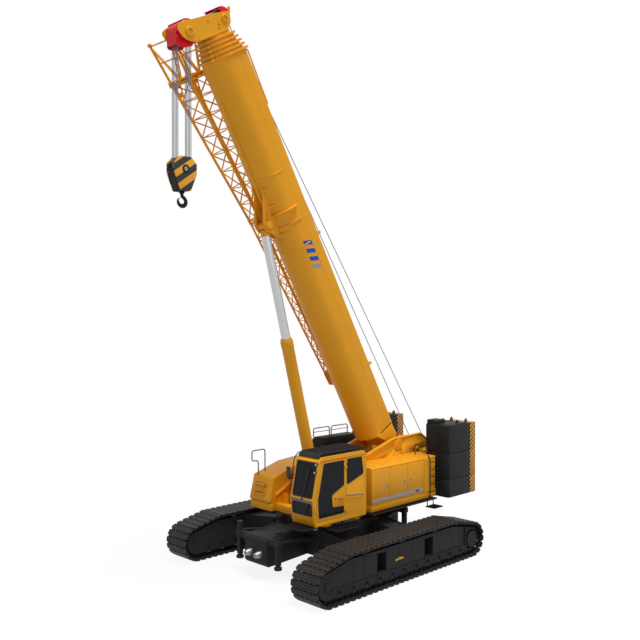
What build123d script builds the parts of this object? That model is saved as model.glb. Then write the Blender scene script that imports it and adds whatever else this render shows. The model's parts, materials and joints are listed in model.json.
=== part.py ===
# Telescopic boom crawler crane, built as an assembly of separate named pieces.
# Units are millimetres. +X points to the front of the machine, +Y to its left (cab) side, +Z up.
# The origin lies on the ground at the slewing axis. The boom stands at its working angle.
import os
from math import acos, atan2, cos, hypot, pi, radians, sin

from build123d import *

os.makedirs("parts", exist_ok=True)

# ---------------------------------------------------------------- driving dimensions
SEAT_GAP = 0.3              # running gap where one piece is seated on another
FIT_GAP = 0.5               # sliding gap round the boom's wear faces
ROLL_GAP = 0.8              # gap between a wheel and the curved run of track round it

# tracks
SHOE_WIDTH = 900.0
TRACK_Y = 2595.0            # centre of each track from the slewing axis
TRACK_END_R = 490.0         # outer radius round the idler and the sprocket
TRACK_END_X = 2920.0        # idler and sprocket axles from the slewing axis
TRACK_TOP = 1160.0          # height over the upper run
TRACK_TOP_HALF = 2150.0     # half the length of the level upper run
TRACK_THICK = 130.0         # shoe and link together
SHOE_PITCH = 205.0
SHOE_GAP = 48.0             # notch between two shoes
SHOE_NOTCH = 40.0           # depth of that notch

# track frames
FRAME_HALF = 330.0          # half the width over the frame's side plates
FRAME_PLATE = 26.0
FRAME_INSET = 34.0          # side plate edge to the inside of the track
FRAME_BEAM_LOW = 360.0
FRAME_BEAM_HIGH = 800.0
FRAME_BEAM_HALF = 2250.0
ROLLER_R = 105.0
ROLLER_COUNT = 11
ROLLER_TO_END = 470.0       # last roller's axle to the axle of the idler or the sprocket
CARRIER_R = 85.0
CARRIER_X = (-1400.0, 0.0, 1400.0)
WINDOW_X = (975.0, -960.0)  # pockets in the outer side plates
WINDOW_LONG = 360.0
WINDOW_LOW = 400.0
WINDOW_HIGH = 900.0
AXLE_R = 70.0
DRIVE_R = 235.0
DRIVE_OUT = 60.0            # final drive cover beyond the side plate
LEDGE_OUT = 50.0            # ledge along the foot of each side plate
LEDGE_LOW = 345.0
LEDGE_THICK = 27.0
HANGER_WIDE = 170.0         # bracket under the ledge over each roller
HANGER_LOW = 235.0
HANGER_THICK = 30.0

# car body
CAR_HALF_X = 1250.0
CAR_HALF_Y = 1150.0
CAR_LOW = 420.0
CAR_TOP = 1180.0
BEAM_X = 900.0              # cross beams from the slewing axis
BEAM_WIDE = 620.0
BEAM_LOW = 480.0
BEAM_HIGH = 1020.0
NOSE_X = 2680.0             # front and rear blocks
NOSE_HALF = 440.0
NOSE_LOW = 330.0
NOSE_HIGH = 1090.0
JACK_X = 2567.0
JACK_Y = 770.0
JACK_R = 62.0
JACK_LOW = 330.0
JACK_HIGH = 1330.0
JACK_FOOT_R = 105.0
JACK_FOOT_HIGH = 150.0
JACK_ARM = 180.0            # height of the arm that carries a jack
STUB_Y = 190.0              # tow stubs on the front and rear blocks
STUB_Z = 640.0
STUB_OUT = 190.0
STUB_R = 110.0

# slewing ring and turntable
RING_OUTER = 1050.0
RING_INNER = 860.0
RING_SPLIT = 1300.0         # lower race below, turntable's race above
DECK_LOW = 1440.0
DECK_HIGH = 1640.0
DECK_FRONT = 1450.0
DECK_REAR = -4700.0
PLATE_OUT = 620.0           # outer face of the turntable's side plates
PLATE_THICK = 50.0

# boom line
LUFF_ANGLE = 60.16          # boom above the horizontal
PIVOT_X = -2450.0
PIVOT_Z = 3000.0
BOOM_DROP = 263.0           # pivot above the boom's centre line
PIVOT_PIN_R = 90.0
BOOM_HALF = 475.0           # half the width of the base section
BOOM_TALL = 1057.0
BOOM_WALL = 12.0
NEST_STEP = 30.0            # each section is this much smaller on every side
SECTIONS = 6
BASE_START = 620.0
BASE_END = 12200.0
COLLAR_PITCH = 110.0
COLLAR_THICK = 62.0
COLLAR_RISE = 46.0
BULKHEAD = 30.0
SECTION_TAIL = 200.0        # rear end of each section behind the one outside it
FACETS = 8                  # press-brake bends round the lower half

# boom head
HEAD_START = 12700.0        # where the last section ends and the head begins
HEAD_HALF = 330.0
HEAD_PLATE = 30.0
HUB_LOW = (13000.0, -870.0)
HUB_HIGH = (12980.0, 330.0)
SHEAVE_R = 206.0            # lower sheaves of the head and sheaves of the hook block
TOP_SHEAVE_R = 235.0
SHEAVE_HALF = 145.0         # half the width of the row of lower sheaves, and of the upper row
TOP_SHEAVE_HALF = 170.0
SHEAVE_COUNT = 5
HUB_PIN_R = 60.0
HEAD_BOSS = 24.0            # hub bosses beyond the head's plates
GROOVE = 28.0               # depth of a sheave's groove
GUARD_R = 290.0             # swinging rope guard round the lower sheaves
GUARD_CLEAR = 10.0          # between the swinging guard and the fixed one over it
GUARD_DROP = 390.0          # the swinging guard's mouth below its axle
GUARD_TAIL = (-220.0, -270.0)
GUARD_BACK = 105.0          # angle at which its cover ends above the axle
FIXED_GUARD_ARC = (50.0, 118.0)     # stays clear of the swinging guard's straight front with the boom lowered
GUARD_PLATE = 14.0
GUARD_HALF = 200.0

# lift cylinder
EAR = (7850.0, -800.0)      # rod pin, along the boom and below its centre line
EAR_HALF = 190.0
EAR_PLATE = 45.0
BELLY_RAIL = (8400.0, 11160.0)
GUIDE_FRONT = 12120.0       # rope guide on top of the base section
GUIDE_REAR = 10650.0
GUIDE_N = 615.0
GUIDE_Y = 390.0
GUIDE_R = 18.0              # half the width of its square rails
GUIDE_BAR_R = 13.0
POSTS = (6950.0, 2670.0)    # rope posts along the base section
POST_TALL = 150.0
FOOT_X = 433.0
FOOT_Z = 1950.0
BARREL_R = 178.0
ROD_R = 125.0
BARREL_LONG = 4480.0
ROD_PIN_R = 60.0
LUG_Y = 238.0               # lugs of the turntable at the cylinder's foot
LUG_PLATE = 60.0

# hook tackle
FALLS = 5
FALL_R = 12.0
HOOK_TOP = 10450.0          # axle of the hook block's sheaves
BLOCK_HALF = 172.0
BLOCK_CHEEK = 22.0          # thickness of its side plates
BLOCK_FOOT = 530.0          # bottom of the block below its axle
HOOK_R = 170.0
HOOK_BOWL_R = 88.0
HOOK_HALF = 46.0
HOOK_DROP = 240.0           # middle of the hook below the block

# jib
JIB_Y = -720.0              # inner chords from the boom's centre plane
JIB_N = 130.0               # upper chords above the boom's centre line
CHORD_R = 36.0
LACE_R = 20.0
JIB_ROOT = 13050.0          # along the boom: root fork, joint box, foot of the root section, tip
JIB_JOINT = 11950.0
JIB_FOOT = 7850.0
JIB_TIP = 2250.0
JIB_PLATE_END = 10750.0     # lower end of the holed plates
JIB_PLATE = 14.0
LUG_R = 62.0                # pin lugs of the root fork
LUG_WIDE = 96.0
BAR_SIDES = 8

# cab
CAB_IN = 644.0
CAB_OUT = 1494.0
CAB_LOW = 1440.0
CAB_ARM_LOW = 1330.0
CAB_TOP = 3220.0
CAB_WALL = 45.0
CAB_SIDE = [(-40.0, 1440.0), (1930.0, 1440.0), (1985.0, 1700.0), (2010.0, 2130.0),
            (1800.0, 3120.0), (1690.0, 3220.0), (60.0, 3220.0), (-40.0, 3120.0)]
DOOR_REAR = 800.0
DOOR_GAP = 6.0
HINGE_X = 790.0             # the door's hinge stands outside the side wall
HINGE_Y = 1512.0
HINGE_R = 16.0
HINGE_Z = (1750.0, 2920.0)
HINGE_HALF = 50.0

# bodywork
BODY_OUT = 1494.0
BODY_IN = 700.0
BODY_FRONT = -270.0
BODY_REAR = -3190.0
BODY_LOW = 1640.0 + SEAT_GAP
BODY_TOP = 2665.0
DOOR_SEAMS = (-1040.0, -1840.0, -2620.0)
DOOR_TOP = 2597.0
SEAM_WIDE = 12.0
SEAM_DEEP = 14.0
ROOF_RIBS = 7
LOUVRES = [(620.0, 2330.0), (620.0, 2250.0)]      # x, z of each slot's start
LOUVRE_LONG = 300.0
LADDER_X = (-3020.0, -2740.0)
LADDER_Y = 1540.0
LADDER_TOP = 2600.0
LADDER_R = 14.0
RUNG_PITCH = 220.0
STEP_LOW = 1215.0           # rear step of the left sill
RAIL_R = 17.0
RAIL_BEND = 80.0

# counterweight
CW_OUT = 1884.0
CW_IN = 1020.0
CW_FRONT = -3300.0
CW_REAR = -4720.0
CW_LOW = 1410.0
CW_TOP = 3585.0
CW_SEAMS = (1960.0, 2740.0)
CW_EYES_X = (-3950.0, -4400.0)
CW_EYES_Y = (1180.0, 1720.0)
CW_LADDER_Y = (1500.0, 1780.0)
CW_LADDER_OUT = 45.0
CW_RUNGS = 8


# ---------------------------------------------------------------- helpers
ALONG = Vector(cos(radians(LUFF_ANGLE)), 0, sin(radians(LUFF_ANGLE)))
ABOVE = Vector(-sin(radians(LUFF_ANGLE)), 0, cos(radians(LUFF_ANGLE)))
PIVOT = Vector(PIVOT_X, 0, PIVOT_Z)


def boom_point(along, above, y=0.0):
    """A place on the boom: along it from the pivot, above its centre line, and across it."""
    return PIVOT + ALONG * along + ABOVE * (above - BOOM_DROP) + Vector(0, y, 0)


def boom_side(y=0.0):
    """Side view of the boom: sketch X runs along it and sketch Y above its centre line."""
    return Plane(origin=boom_point(0, 0, y), x_dir=ALONG, z_dir=(0, -1, 0))


def boom_section(along):
    """Cross-section of the boom: sketch X is +Y of the machine, sketch Y above the centre line."""
    return Plane(origin=boom_point(along, 0), x_dir=(0, 1, 0), z_dir=ALONG)


def side_at(y):
    """Side view of the machine at a distance from its centre plane."""
    return Plane(origin=(0, y, 0), x_dir=(1, 0, 0), z_dir=(0, -1, 0))


def section_points(half, tall):
    """Corners of the boom's section: a flat top, upright sides and a bent lower half."""
    corner = 60.0
    points = [(half - corner, tall / 2), (-half + corner, tall / 2), (-half, tall / 2 - corner)]
    depth = half * 0.95
    for i in range(FACETS + 1):
        turn = pi + pi * i / FACETS
        points.append((half * cos(turn), -tall / 2 + depth + depth * sin(turn)))
    points.append((half, tall / 2 - corner))
    return points


def save(piece, name):
    """Name a finished piece and write it to its own file."""
    piece.part.label = name
    export_step(piece.part, f"parts/{name}.step")


def disc(x, z, y, radius, thick, both=True):
    """A round plate on a crosswise axis, added to the part being built."""
    with BuildSketch(side_at(y)) as face:
        with Locations((x, z)):
            Circle(radius)
    extrude(face.sketch, amount=thick, both=both)


# ---------------------------------------------------------------- tracks
SLOPE_RUN = TRACK_END_X - TRACK_TOP_HALF


def loop_corners(inset):
    """Where the front slope touches the end circle, and where it meets the level upper run."""
    radius = TRACK_END_R - inset
    rise = TRACK_TOP - inset - TRACK_END_R
    touch = atan2(rise, -SLOPE_RUN) - acos(radius / hypot(SLOPE_RUN, rise))
    x = TRACK_END_X + radius * cos(touch)
    z = TRACK_END_R + radius * sin(touch)
    return radius, x, z, TRACK_TOP_HALF, TRACK_TOP - inset


def loop_wire(inset):
    """Smooth closed outline of the track in side view, moved inwards."""
    radius, x, z, top_x, top_z = loop_corners(inset)
    low = inset
    Line((-TRACK_END_X, low), (TRACK_END_X, low))
    ThreePointArc((TRACK_END_X, low), (TRACK_END_X + radius, TRACK_END_R), (x, z))
    Polyline((x, z), (top_x, top_z), (-top_x, top_z), (-x, z))
    ThreePointArc((-x, z), (-TRACK_END_X - radius, TRACK_END_R), (-TRACK_END_X, low))


def loop_walk(distance):
    """Point and outward normal on the track's outside at a distance along it."""
    radius, x, z, top_x, top_z = loop_corners(0.0)
    turn = atan2(z - TRACK_END_R, x - TRACK_END_X) + pi / 2
    arc = radius * turn
    slope = hypot(x - top_x, top_z - z)
    stretches = (2 * TRACK_END_X, arc, slope, 2 * top_x, slope, arc)
    distance = distance % sum(stretches)
    index = 0
    while distance > stretches[index]:
        distance -= stretches[index]
        index += 1
    if index == 0:
        return (-TRACK_END_X + distance, 0.0), (0.0, -1.0)
    if index in (1, 5):
        centre = TRACK_END_X if index == 1 else -TRACK_END_X
        start = -pi / 2 if index == 1 else 3 * pi / 2 - turn
        angle = start + distance / radius
        return (centre + radius * cos(angle), TRACK_END_R + radius * sin(angle)), (cos(angle), sin(angle))
    corners = {2: ((x, z), (top_x, top_z)), 3: ((top_x, top_z), (-top_x, top_z)),
               4: ((-top_x, top_z), (-x, z))}
    (x0, z0), (x1, z1) = corners[index]
    long = hypot(x1 - x0, z1 - z0)
    ux, uz = (x1 - x0) / long, (z1 - z0) / long
    return (x0 + ux * distance, z0 + uz * distance), (uz, -ux)


def loop_length():
    """Length round the outside of the track."""
    radius, x, z, top_x, top_z = loop_corners(0.0)
    turn = atan2(z - TRACK_END_R, x - TRACK_END_X) + pi / 2
    return 2 * TRACK_END_X + 2 * radius * turn + 2 * hypot(x - top_x, top_z - z) + 2 * top_x


def shoe_outline():
    """Closed outline of all the shoes, one flat plate and one notch for each."""
    count = round(loop_length() / SHOE_PITCH)
    pitch = loop_length() / count
    points = []
    for i in range(count):
        for place, depth in ((SHOE_GAP / 2, SHOE_NOTCH), (SHOE_GAP / 2, 0.0),
                             (pitch - SHOE_GAP / 2, 0.0), (pitch - SHOE_GAP / 2, SHOE_NOTCH)):
            (px, pz), (nx, nz) = loop_walk(i * pitch + place)
            points.append((px - nx * depth, pz - nz * depth))
    return points


# rollers are spread evenly between the end wheels, and each has a hanger on both side plates
ROLLER_SPAN = 2 * (TRACK_END_X - ROLLER_TO_END)
ROLLER_PLACES = [-ROLLER_SPAN / 2 + ROLLER_SPAN * i / (ROLLER_COUNT - 1) for i in range(ROLLER_COUNT)]
HANGER = [(-HANGER_WIDE / 2, LEDGE_LOW + 1), (HANGER_WIDE / 2, LEDGE_LOW + 1), (HANGER_WIDE / 2 - 23, LEDGE_LOW - 70),
          (HANGER_WIDE / 2 - 50, HANGER_LOW), (50 - HANGER_WIDE / 2, HANGER_LOW),
          (23 - HANGER_WIDE / 2, LEDGE_LOW - 70)]

for name, side in (("left", 1), ("right", -1)):
    with BuildPart() as track:
        with BuildSketch(side_at(side * TRACK_Y)):
            with BuildLine():
                Polyline(*shoe_outline(), close=True)
            make_face()
            with BuildLine():
                loop_wire(TRACK_THICK)
            make_face(mode=Mode.SUBTRACT)
        extrude(amount=SHOE_WIDTH / 2, both=True)
    save(track, f"track_{name}")

    # box beam between two side plates, which reach past the idler and the sprocket
    with BuildPart() as frame:
        for face in (-1, 1):
            with BuildSketch(side_at(side * TRACK_Y + face * (FRAME_HALF - FRAME_PLATE / 2))):
                with BuildLine():
                    loop_wire(TRACK_THICK + FRAME_INSET)
                make_face()
                with Locations((TRACK_END_X, TRACK_END_R), (-TRACK_END_X, TRACK_END_R)):
                    Circle(AXLE_R + SEAT_GAP, mode=Mode.SUBTRACT)
                if face == side:
                    with Locations(*[(x, (WINDOW_LOW + WINDOW_HIGH) / 2) for x in WINDOW_X]):
                        Rectangle(WINDOW_LONG, WINDOW_HIGH - WINDOW_LOW, mode=Mode.SUBTRACT)
            extrude(amount=FRAME_PLATE / 2, both=True)
        with Locations((0, side * TRACK_Y, (FRAME_BEAM_LOW + FRAME_BEAM_HIGH) / 2)):
            Box(2 * FRAME_BEAM_HALF, 2 * (FRAME_HALF - FRAME_PLATE) - 120, FRAME_BEAM_HIGH - FRAME_BEAM_LOW)
        for end in (-1, 1):
            with Locations((end * (FRAME_BEAM_HALF - 20), side * TRACK_Y, (FRAME_BEAM_LOW + FRAME_BEAM_HIGH) / 2),
                           (end * 400, side * TRACK_Y, (FRAME_BEAM_LOW + FRAME_BEAM_HIGH) / 2)):
                Box(40, 2 * (FRAME_HALF - FRAME_PLATE) + 2, FRAME_BEAM_HIGH - FRAME_BEAM_LOW)
        # ledge and roller hangers outside the outer plate
        outer = side * (TRACK_Y + FRAME_HALF)
        with Locations((0, outer + side * (LEDGE_OUT - 2) / 2, LEDGE_LOW + LEDGE_THICK / 2)):
            Box(2 * (TRACK_END_X - 300), LEDGE_OUT + 2, LEDGE_THICK)
        with BuildSketch(side_at(outer + side * (LEDGE_OUT - 2))) as hangers:
            for x in ROLLER_PLACES:
                with BuildLine():
                    Polyline(*[(x + a, b) for a, b in HANGER], close=True)
                make_face()
        extrude(hangers.sketch, amount=side * HANGER_THICK)
    save(frame, f"track_frame_{name}")

PLATE_GAP_HALF = FRAME_HALF - FRAME_PLATE - SEAT_GAP     # what turns between the side plates
WHEEL_R = TRACK_END_R - TRACK_THICK - ROLL_GAP


def end_wheel(x, width, drive):
    """One pair of end wheels with their axles; the sprockets also carry the final drives."""
    for side in (-1, 1):
        disc(x, TRACK_END_R, side * TRACK_Y, WHEEL_R, width / 2)
        disc(x, TRACK_END_R, side * TRACK_Y, AXLE_R, FRAME_HALF + 12)
        if drive:
            disc(x, TRACK_END_R, side * (TRACK_Y + FRAME_HALF + SEAT_GAP), DRIVE_R, -side * DRIVE_OUT, False)


with BuildPart() as idlers:
    end_wheel(TRACK_END_X, 300.0, False)
save(idlers, "idlers")

with BuildPart() as sprockets:
    end_wheel(-TRACK_END_X, 220.0, True)
save(sprockets, "sprockets")

with BuildPart() as rollers:
    for side in (-1, 1):
        for x in ROLLER_PLACES:
            disc(x, TRACK_THICK + ROLLER_R + SEAT_GAP, side * TRACK_Y, ROLLER_R, PLATE_GAP_HALF)
        for x in CARRIER_X:
            disc(x, TRACK_TOP - TRACK_THICK - CARRIER_R - SEAT_GAP, side * TRACK_Y, CARRIER_R, PLATE_GAP_HALF)
save(rollers, "track_rollers")

# ---------------------------------------------------------------- car body
FRAME_INNER = TRACK_Y - FRAME_HALF - SEAT_GAP
with BuildPart() as car_body:
    with Locations((0, 0, (CAR_LOW + CAR_TOP) / 2)):
        Box(2 * CAR_HALF_X, 2 * CAR_HALF_Y, CAR_TOP - CAR_LOW)
    chamfer(car_body.edges().filter_by(Axis.Z), 320)
    for x in (-BEAM_X, BEAM_X):
        with Locations((x, 0, (BEAM_LOW + BEAM_HIGH) / 2)):
            Box(BEAM_WIDE, 2 * FRAME_INNER, BEAM_HIGH - BEAM_LOW)
    with Locations((0, 0, (NOSE_LOW + NOSE_HIGH) / 2)):
        Box(2 * NOSE_X, 2 * NOSE_HALF, NOSE_HIGH - NOSE_LOW)
    for x in (-JACK_X, JACK_X):
        with Locations((x, 0, NOSE_HIGH - JACK_ARM)):
            Box(2 * JACK_R, 2 * (JACK_Y - JACK_R - SEAT_GAP), JACK_ARM)
    for end in (-1, 1):
        with BuildSketch(Plane(origin=(end * (NOSE_X - 1), 0, STUB_Z), x_dir=(0, 1, 0), z_dir=(end, 0, 0))) as stub:
            with Locations((-STUB_Y, 0), (STUB_Y, 0)):
                Circle(STUB_R)
        extrude(stub.sketch, amount=STUB_OUT, taper=14)
save(car_body, "car_body")

with BuildPart() as jacks:
    with Locations(*[(sx * JACK_X, sy * JACK_Y, (JACK_LOW + JACK_HIGH) / 2) for sx in (-1, 1) for sy in (-1, 1)]):
        Box(2 * JACK_R, 2 * JACK_R, JACK_HIGH - JACK_LOW)
    with Locations(*[(sx * JACK_X, sy * JACK_Y, JACK_LOW + JACK_FOOT_HIGH / 2) for sx in (-1, 1) for sy in (-1, 1)]):
        Cylinder(JACK_FOOT_R, JACK_FOOT_HIGH)
save(jacks, "support_jacks")

with BuildPart() as ring:
    with BuildSketch(Plane.XY.offset(CAR_TOP + SEAT_GAP)):
        Circle(RING_OUTER)
        Circle(RING_INNER, mode=Mode.SUBTRACT)
    extrude(amount=RING_SPLIT - CAR_TOP - 2 * SEAT_GAP)
save(ring, "slewing_ring")

# ---------------------------------------------------------------- turntable
TALL_PLATE = [(DECK_FRONT, DECK_LOW), (DECK_FRONT, 1900.0), (900.0, 2180.0), (-300.0, 2480.0), (-900.0, 2800.0),
              (-2250.0, 3190.0), (-3560.0, 3230.0), (-3900.0, 3000.0), (DECK_REAR, 2900.0), (DECK_REAR, DECK_LOW)]
FLANGE_IN = 52.0            # flange of a tall plate towards the boom
BOSS_OUT = 20.0             # boom pivot's boss beyond the plate
FLANGE_THICK = 28.0
PLATE_HOLES = [(-1350.0, 2350.0, 160.0), (-2550.0, 2250.0, 200.0), (200.0, 1980.0, 120.0)]   # x, z, radius
CROSS_TUBES = [(-3860.0, 2930.0), (-4600.0, 2820.0)]
CROSS_TUBE_R = 55.0
PIVOT_BOSS_R = 190.0
WINCHES = (("main_winch_drum", -3350.0, 2700.0), ("auxiliary_winch_drum", -4180.0, 2330.0))
DRUM_R = 265.0              # over the turns of rope
FLANGE_R = 360.0
DRUM_AXLE_R = 60.0
with BuildPart() as turntable:
    with Locations(((DECK_FRONT + DECK_REAR) / 2, 0, (DECK_LOW + DECK_HIGH) / 2)):
        Box(DECK_FRONT - DECK_REAR, 2 * PLATE_OUT, DECK_HIGH - DECK_LOW)
    for side, front in ((1, BODY_FRONT), (-1, 1600.0)):
        with Locations(((front + BODY_REAR) / 2, side * (BODY_OUT - 20) / 2, (DECK_LOW + DECK_HIGH) / 2)):
            Box(front - BODY_REAR, BODY_OUT - 20, DECK_HIGH - DECK_LOW)
    # arms that carry the cab
    for x in (250.0, 1350.0):
        with Locations((x, CAB_OUT / 2, (CAB_LOW - SEAT_GAP + CAB_ARM_LOW) / 2)):
            Box(160, CAB_OUT - 120, CAB_LOW - SEAT_GAP - CAB_ARM_LOW)
        with Locations((x, PLATE_OUT / 2, (DECK_LOW + CAB_ARM_LOW) / 2)):
            Box(160, PLATE_OUT, DECK_LOW - CAB_ARM_LOW + 2)
    with BuildSketch(Plane.XY.offset(RING_SPLIT)):
        Circle(RING_OUTER)
        Circle(RING_INNER, mode=Mode.SUBTRACT)
    extrude(amount=DECK_LOW - RING_SPLIT - SEAT_GAP)
    with Locations((0, 0, DECK_LOW - 20)):
        Box(2 * RING_INNER, 2 * PLATE_OUT, 44)
    for side in (-1, 1):
        with BuildSketch(side_at(side * (PLATE_OUT - PLATE_THICK / 2))):
            with BuildLine():
                Polyline(*TALL_PLATE, close=True)
            make_face()
            with Locations((PIVOT_X, PIVOT_Z)):
                Circle(PIVOT_PIN_R + SEAT_GAP, mode=Mode.SUBTRACT)
            with Locations(*[(x, z) for label, x, z in WINCHES]):
                Circle(DRUM_AXLE_R + SEAT_GAP, mode=Mode.SUBTRACT)
            for x, z, radius in PLATE_HOLES:
                with Locations((x, z)):
                    Circle(radius, mode=Mode.SUBTRACT)
        extrude(amount=PLATE_THICK / 2, both=True)
        # flange along the plate's top edge
        flange_mid = PLATE_OUT - (PLATE_THICK + FLANGE_IN) / 2
        with BuildSketch(side_at(side * flange_mid)) as flange:
            with BuildLine():
                Polyline(*TALL_PLATE[1:-1], *[(x - 8, z - FLANGE_THICK) for x, z in reversed(TALL_PLATE[1:-1])],
                         close=True)
            make_face()
        extrude(flange.sketch, amount=(PLATE_THICK + FLANGE_IN) / 2, both=True)
        with BuildSketch(side_at(side * (PLATE_OUT - 1))) as pivot_boss:
            with Locations((PIVOT_X, PIVOT_Z)):
                Circle(PIVOT_BOSS_R)
                Circle(PIVOT_PIN_R + SEAT_GAP, mode=Mode.SUBTRACT)
        extrude(pivot_boss.sketch, amount=-side * (BOSS_OUT + 1))
        # lugs for the lift cylinder's foot
        with BuildSketch(side_at(side * LUG_Y)):
            with BuildLine():
                Polyline((FOOT_X - 330, DECK_HIGH - 1), (FOOT_X + 330, DECK_HIGH - 1),
                         (FOOT_X + 140, FOOT_Z + 120), (FOOT_X - 140, FOOT_Z + 120), close=True)
            make_face()
        extrude(amount=LUG_PLATE / 2, both=True)
        with Locations((-4000, side * (CW_IN - SEAT_GAP) / 2, (DECK_LOW + DECK_HIGH) / 2)):
            Box(900, CW_IN - SEAT_GAP, DECK_HIGH - DECK_LOW)
    for x, z in CROSS_TUBES:
        disc(x, z, 0, CROSS_TUBE_R, PLATE_OUT - PLATE_THICK + 1)
save(turntable, "turntable")

for name, x, z in WINCHES:
    with BuildPart() as drum:
        inner = PLATE_OUT - PLATE_THICK
        disc(x, z, 0, DRUM_R, inner - 40)
        for y in (-(inner - 60), inner - 60):
            disc(x, z, y, FLANGE_R, 15)
        disc(x, z, 0, DRUM_AXLE_R, PLATE_OUT + 20)
    save(drum, name)

# ---------------------------------------------------------------- cab
CAB_MID = (CAB_IN + CAB_OUT) / 2
CAB_WIDE = CAB_OUT - CAB_IN
CAB_POST = 60.0
# openings of the left and right side, front and rear
DOOR_HOLE = [(DOOR_REAR, 1560.0), (1850.0, 1560.0), (1895.0, 2130.0), (1700.0, 3060.0), (1640.0, 3110.0),
             (DOOR_REAR, 3110.0)]
REAR_PANE = [(90.0, 2600.0), (740.0, 2380.0), (740.0, 3060.0), (160.0, 3060.0)]
RIGHT_PANE = [(90.0, 2100.0), (1840.0, 2100.0), (1660.0, 3060.0), (160.0, 3060.0)]
FRONT_BARS = ((1720.0, 2040.0), (2190.0, 3080.0))   # heights of the lower and the main front pane
PANE = 8.0


with BuildPart() as cab:
    with BuildSketch(side_at(CAB_MID)):
        with BuildLine():
            Polyline(*CAB_SIDE, close=True)
        make_face()
    extrude(amount=CAB_WIDE / 2, both=True)
    with BuildSketch(side_at(CAB_MID)):
        with BuildLine():
            Polyline(*CAB_SIDE, close=True)
        make_face()
        offset(amount=-CAB_WALL, kind=Kind.INTERSECTION, mode=Mode.REPLACE)
    extrude(amount=CAB_WIDE / 2 - CAB_WALL, both=True, mode=Mode.SUBTRACT)
    for points, face in ((DOOR_HOLE, CAB_OUT), (REAR_PANE, CAB_OUT), (RIGHT_PANE, CAB_IN)):
        with BuildSketch(side_at(face)):
            with BuildLine():
                Polyline(*points, close=True)
            make_face()
        extrude(amount=CAB_WALL + 5, both=True, mode=Mode.SUBTRACT)
    for low, high in FRONT_BARS:
        with Locations((1900, CAB_MID, (low + high) / 2)):
            Box(400, CAB_WIDE - 2 * CAB_POST, high - low, mode=Mode.SUBTRACT)
    with Locations((0, CAB_MID, 2750)):
        Box(300, CAB_WIDE - 2 * CAB_POST - 60, 640, mode=Mode.SUBTRACT)
    # corner post under the front, latch plate on the door pillar
    with Locations((1780, CAB_OUT - 74, CAB_LOW - 35)):
        Cylinder(60, 72)
    with Locations((1935, CAB_OUT + 9, 1925)):
        Box(70, 24, 190)
    # hinge knuckles above and below each of the door's own
    for z in HINGE_Z:
        for end in (-1, 1):
            with Locations((HINGE_X, HINGE_Y, z + end * (HINGE_HALF + SEAT_GAP + 20))):
                Cylinder(HINGE_R, 40)
            with Locations((HINGE_X - 22, (CAB_OUT - 2 + HINGE_Y) / 2, z + end * (HINGE_HALF + SEAT_GAP + 20))):
                Box(44, HINGE_Y - CAB_OUT + 2 + 8, 40)
save(cab, "cab_shell")


# panes stand in their holes, a seat gap inside the edge, flush with the outer wall
def pane(points, face, inward):
    """A flat side pane that fills an opening of a side wall."""
    with BuildSketch(side_at(face - inward * 12)) as glass:
        with BuildLine():
            Polyline(*points, close=True)
        make_face()
        offset(amount=-SEAT_GAP, kind=Kind.INTERSECTION, mode=Mode.REPLACE)
    extrude(glass.sketch, amount=inward * PANE)


def wind_x(z):
    """Front face of the cab at a height."""
    for (x0, z0), (x1, z1) in zip(CAB_SIDE[1:5], CAB_SIDE[2:6]):
        if z0 <= z <= z1:
            return x0 + (x1 - x0) * (z - z0) / (z1 - z0)
    return CAB_SIDE[5][0]


with BuildPart() as glass:
    pane(REAR_PANE, CAB_OUT, 1)
    pane(RIGHT_PANE, CAB_IN, -1)
    for low, high in FRONT_BARS:
        low, high = low + SEAT_GAP, high - SEAT_GAP
        with BuildSketch(side_at(CAB_MID)):
            with BuildLine():
                Polyline((wind_x(low) - 14, low), (wind_x((low + high) / 2) - 14, (low + high) / 2),
                         (wind_x(high) - 14, high), (wind_x(high) - 14 - PANE, high),
                         (wind_x((low + high) / 2) - 14 - PANE, (low + high) / 2),
                         (wind_x(low) - 14 - PANE, low), close=True)
            make_face()
        extrude(amount=CAB_WIDE / 2 - CAB_POST - SEAT_GAP, both=True)
    with Locations((-30, CAB_MID, 2750)):
        Box(PANE, CAB_WIDE - 2 * CAB_POST - 60 - 2 * SEAT_GAP, 640 - 2 * SEAT_GAP)
save(glass, "cab_glass")

DOOR_PANE = [(860.0, 2390.0), (860.0, 3050.0), (1620.0, 3050.0), (1830.0, 2130.0), (1800.0, 1650.0),
             (860.0, 1650.0), (860.0, 1830.0), (1300.0, 1860.0), (1320.0, 2150.0), (1270.0, 2210.0)]
with BuildPart() as door:
    with BuildSketch(side_at(CAB_OUT + 4)):
        with BuildLine():
            Polyline(*DOOR_HOLE, close=True)
        make_face()
        offset(amount=-DOOR_GAP, kind=Kind.INTERSECTION, mode=Mode.REPLACE)
        with BuildLine():
            Polyline(*DOOR_PANE, close=True)
        make_face(mode=Mode.SUBTRACT)
    extrude(amount=36)
    for z in HINGE_Z:
        with Locations((HINGE_X, HINGE_Y, z)):
            Cylinder(HINGE_R, 2 * HINGE_HALF)
        with Locations((HINGE_X + 40, (CAB_OUT + SEAT_GAP + HINGE_Y + 8) / 2, z)):
            Box(80, HINGE_Y + 8 - CAB_OUT - SEAT_GAP, 2 * HINGE_HALF)
save(door, "cab_door")
with BuildPart() as door_glass:
    pane(DOOR_PANE, CAB_OUT, 1)
save(door_glass, "cab_door_glass")

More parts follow.
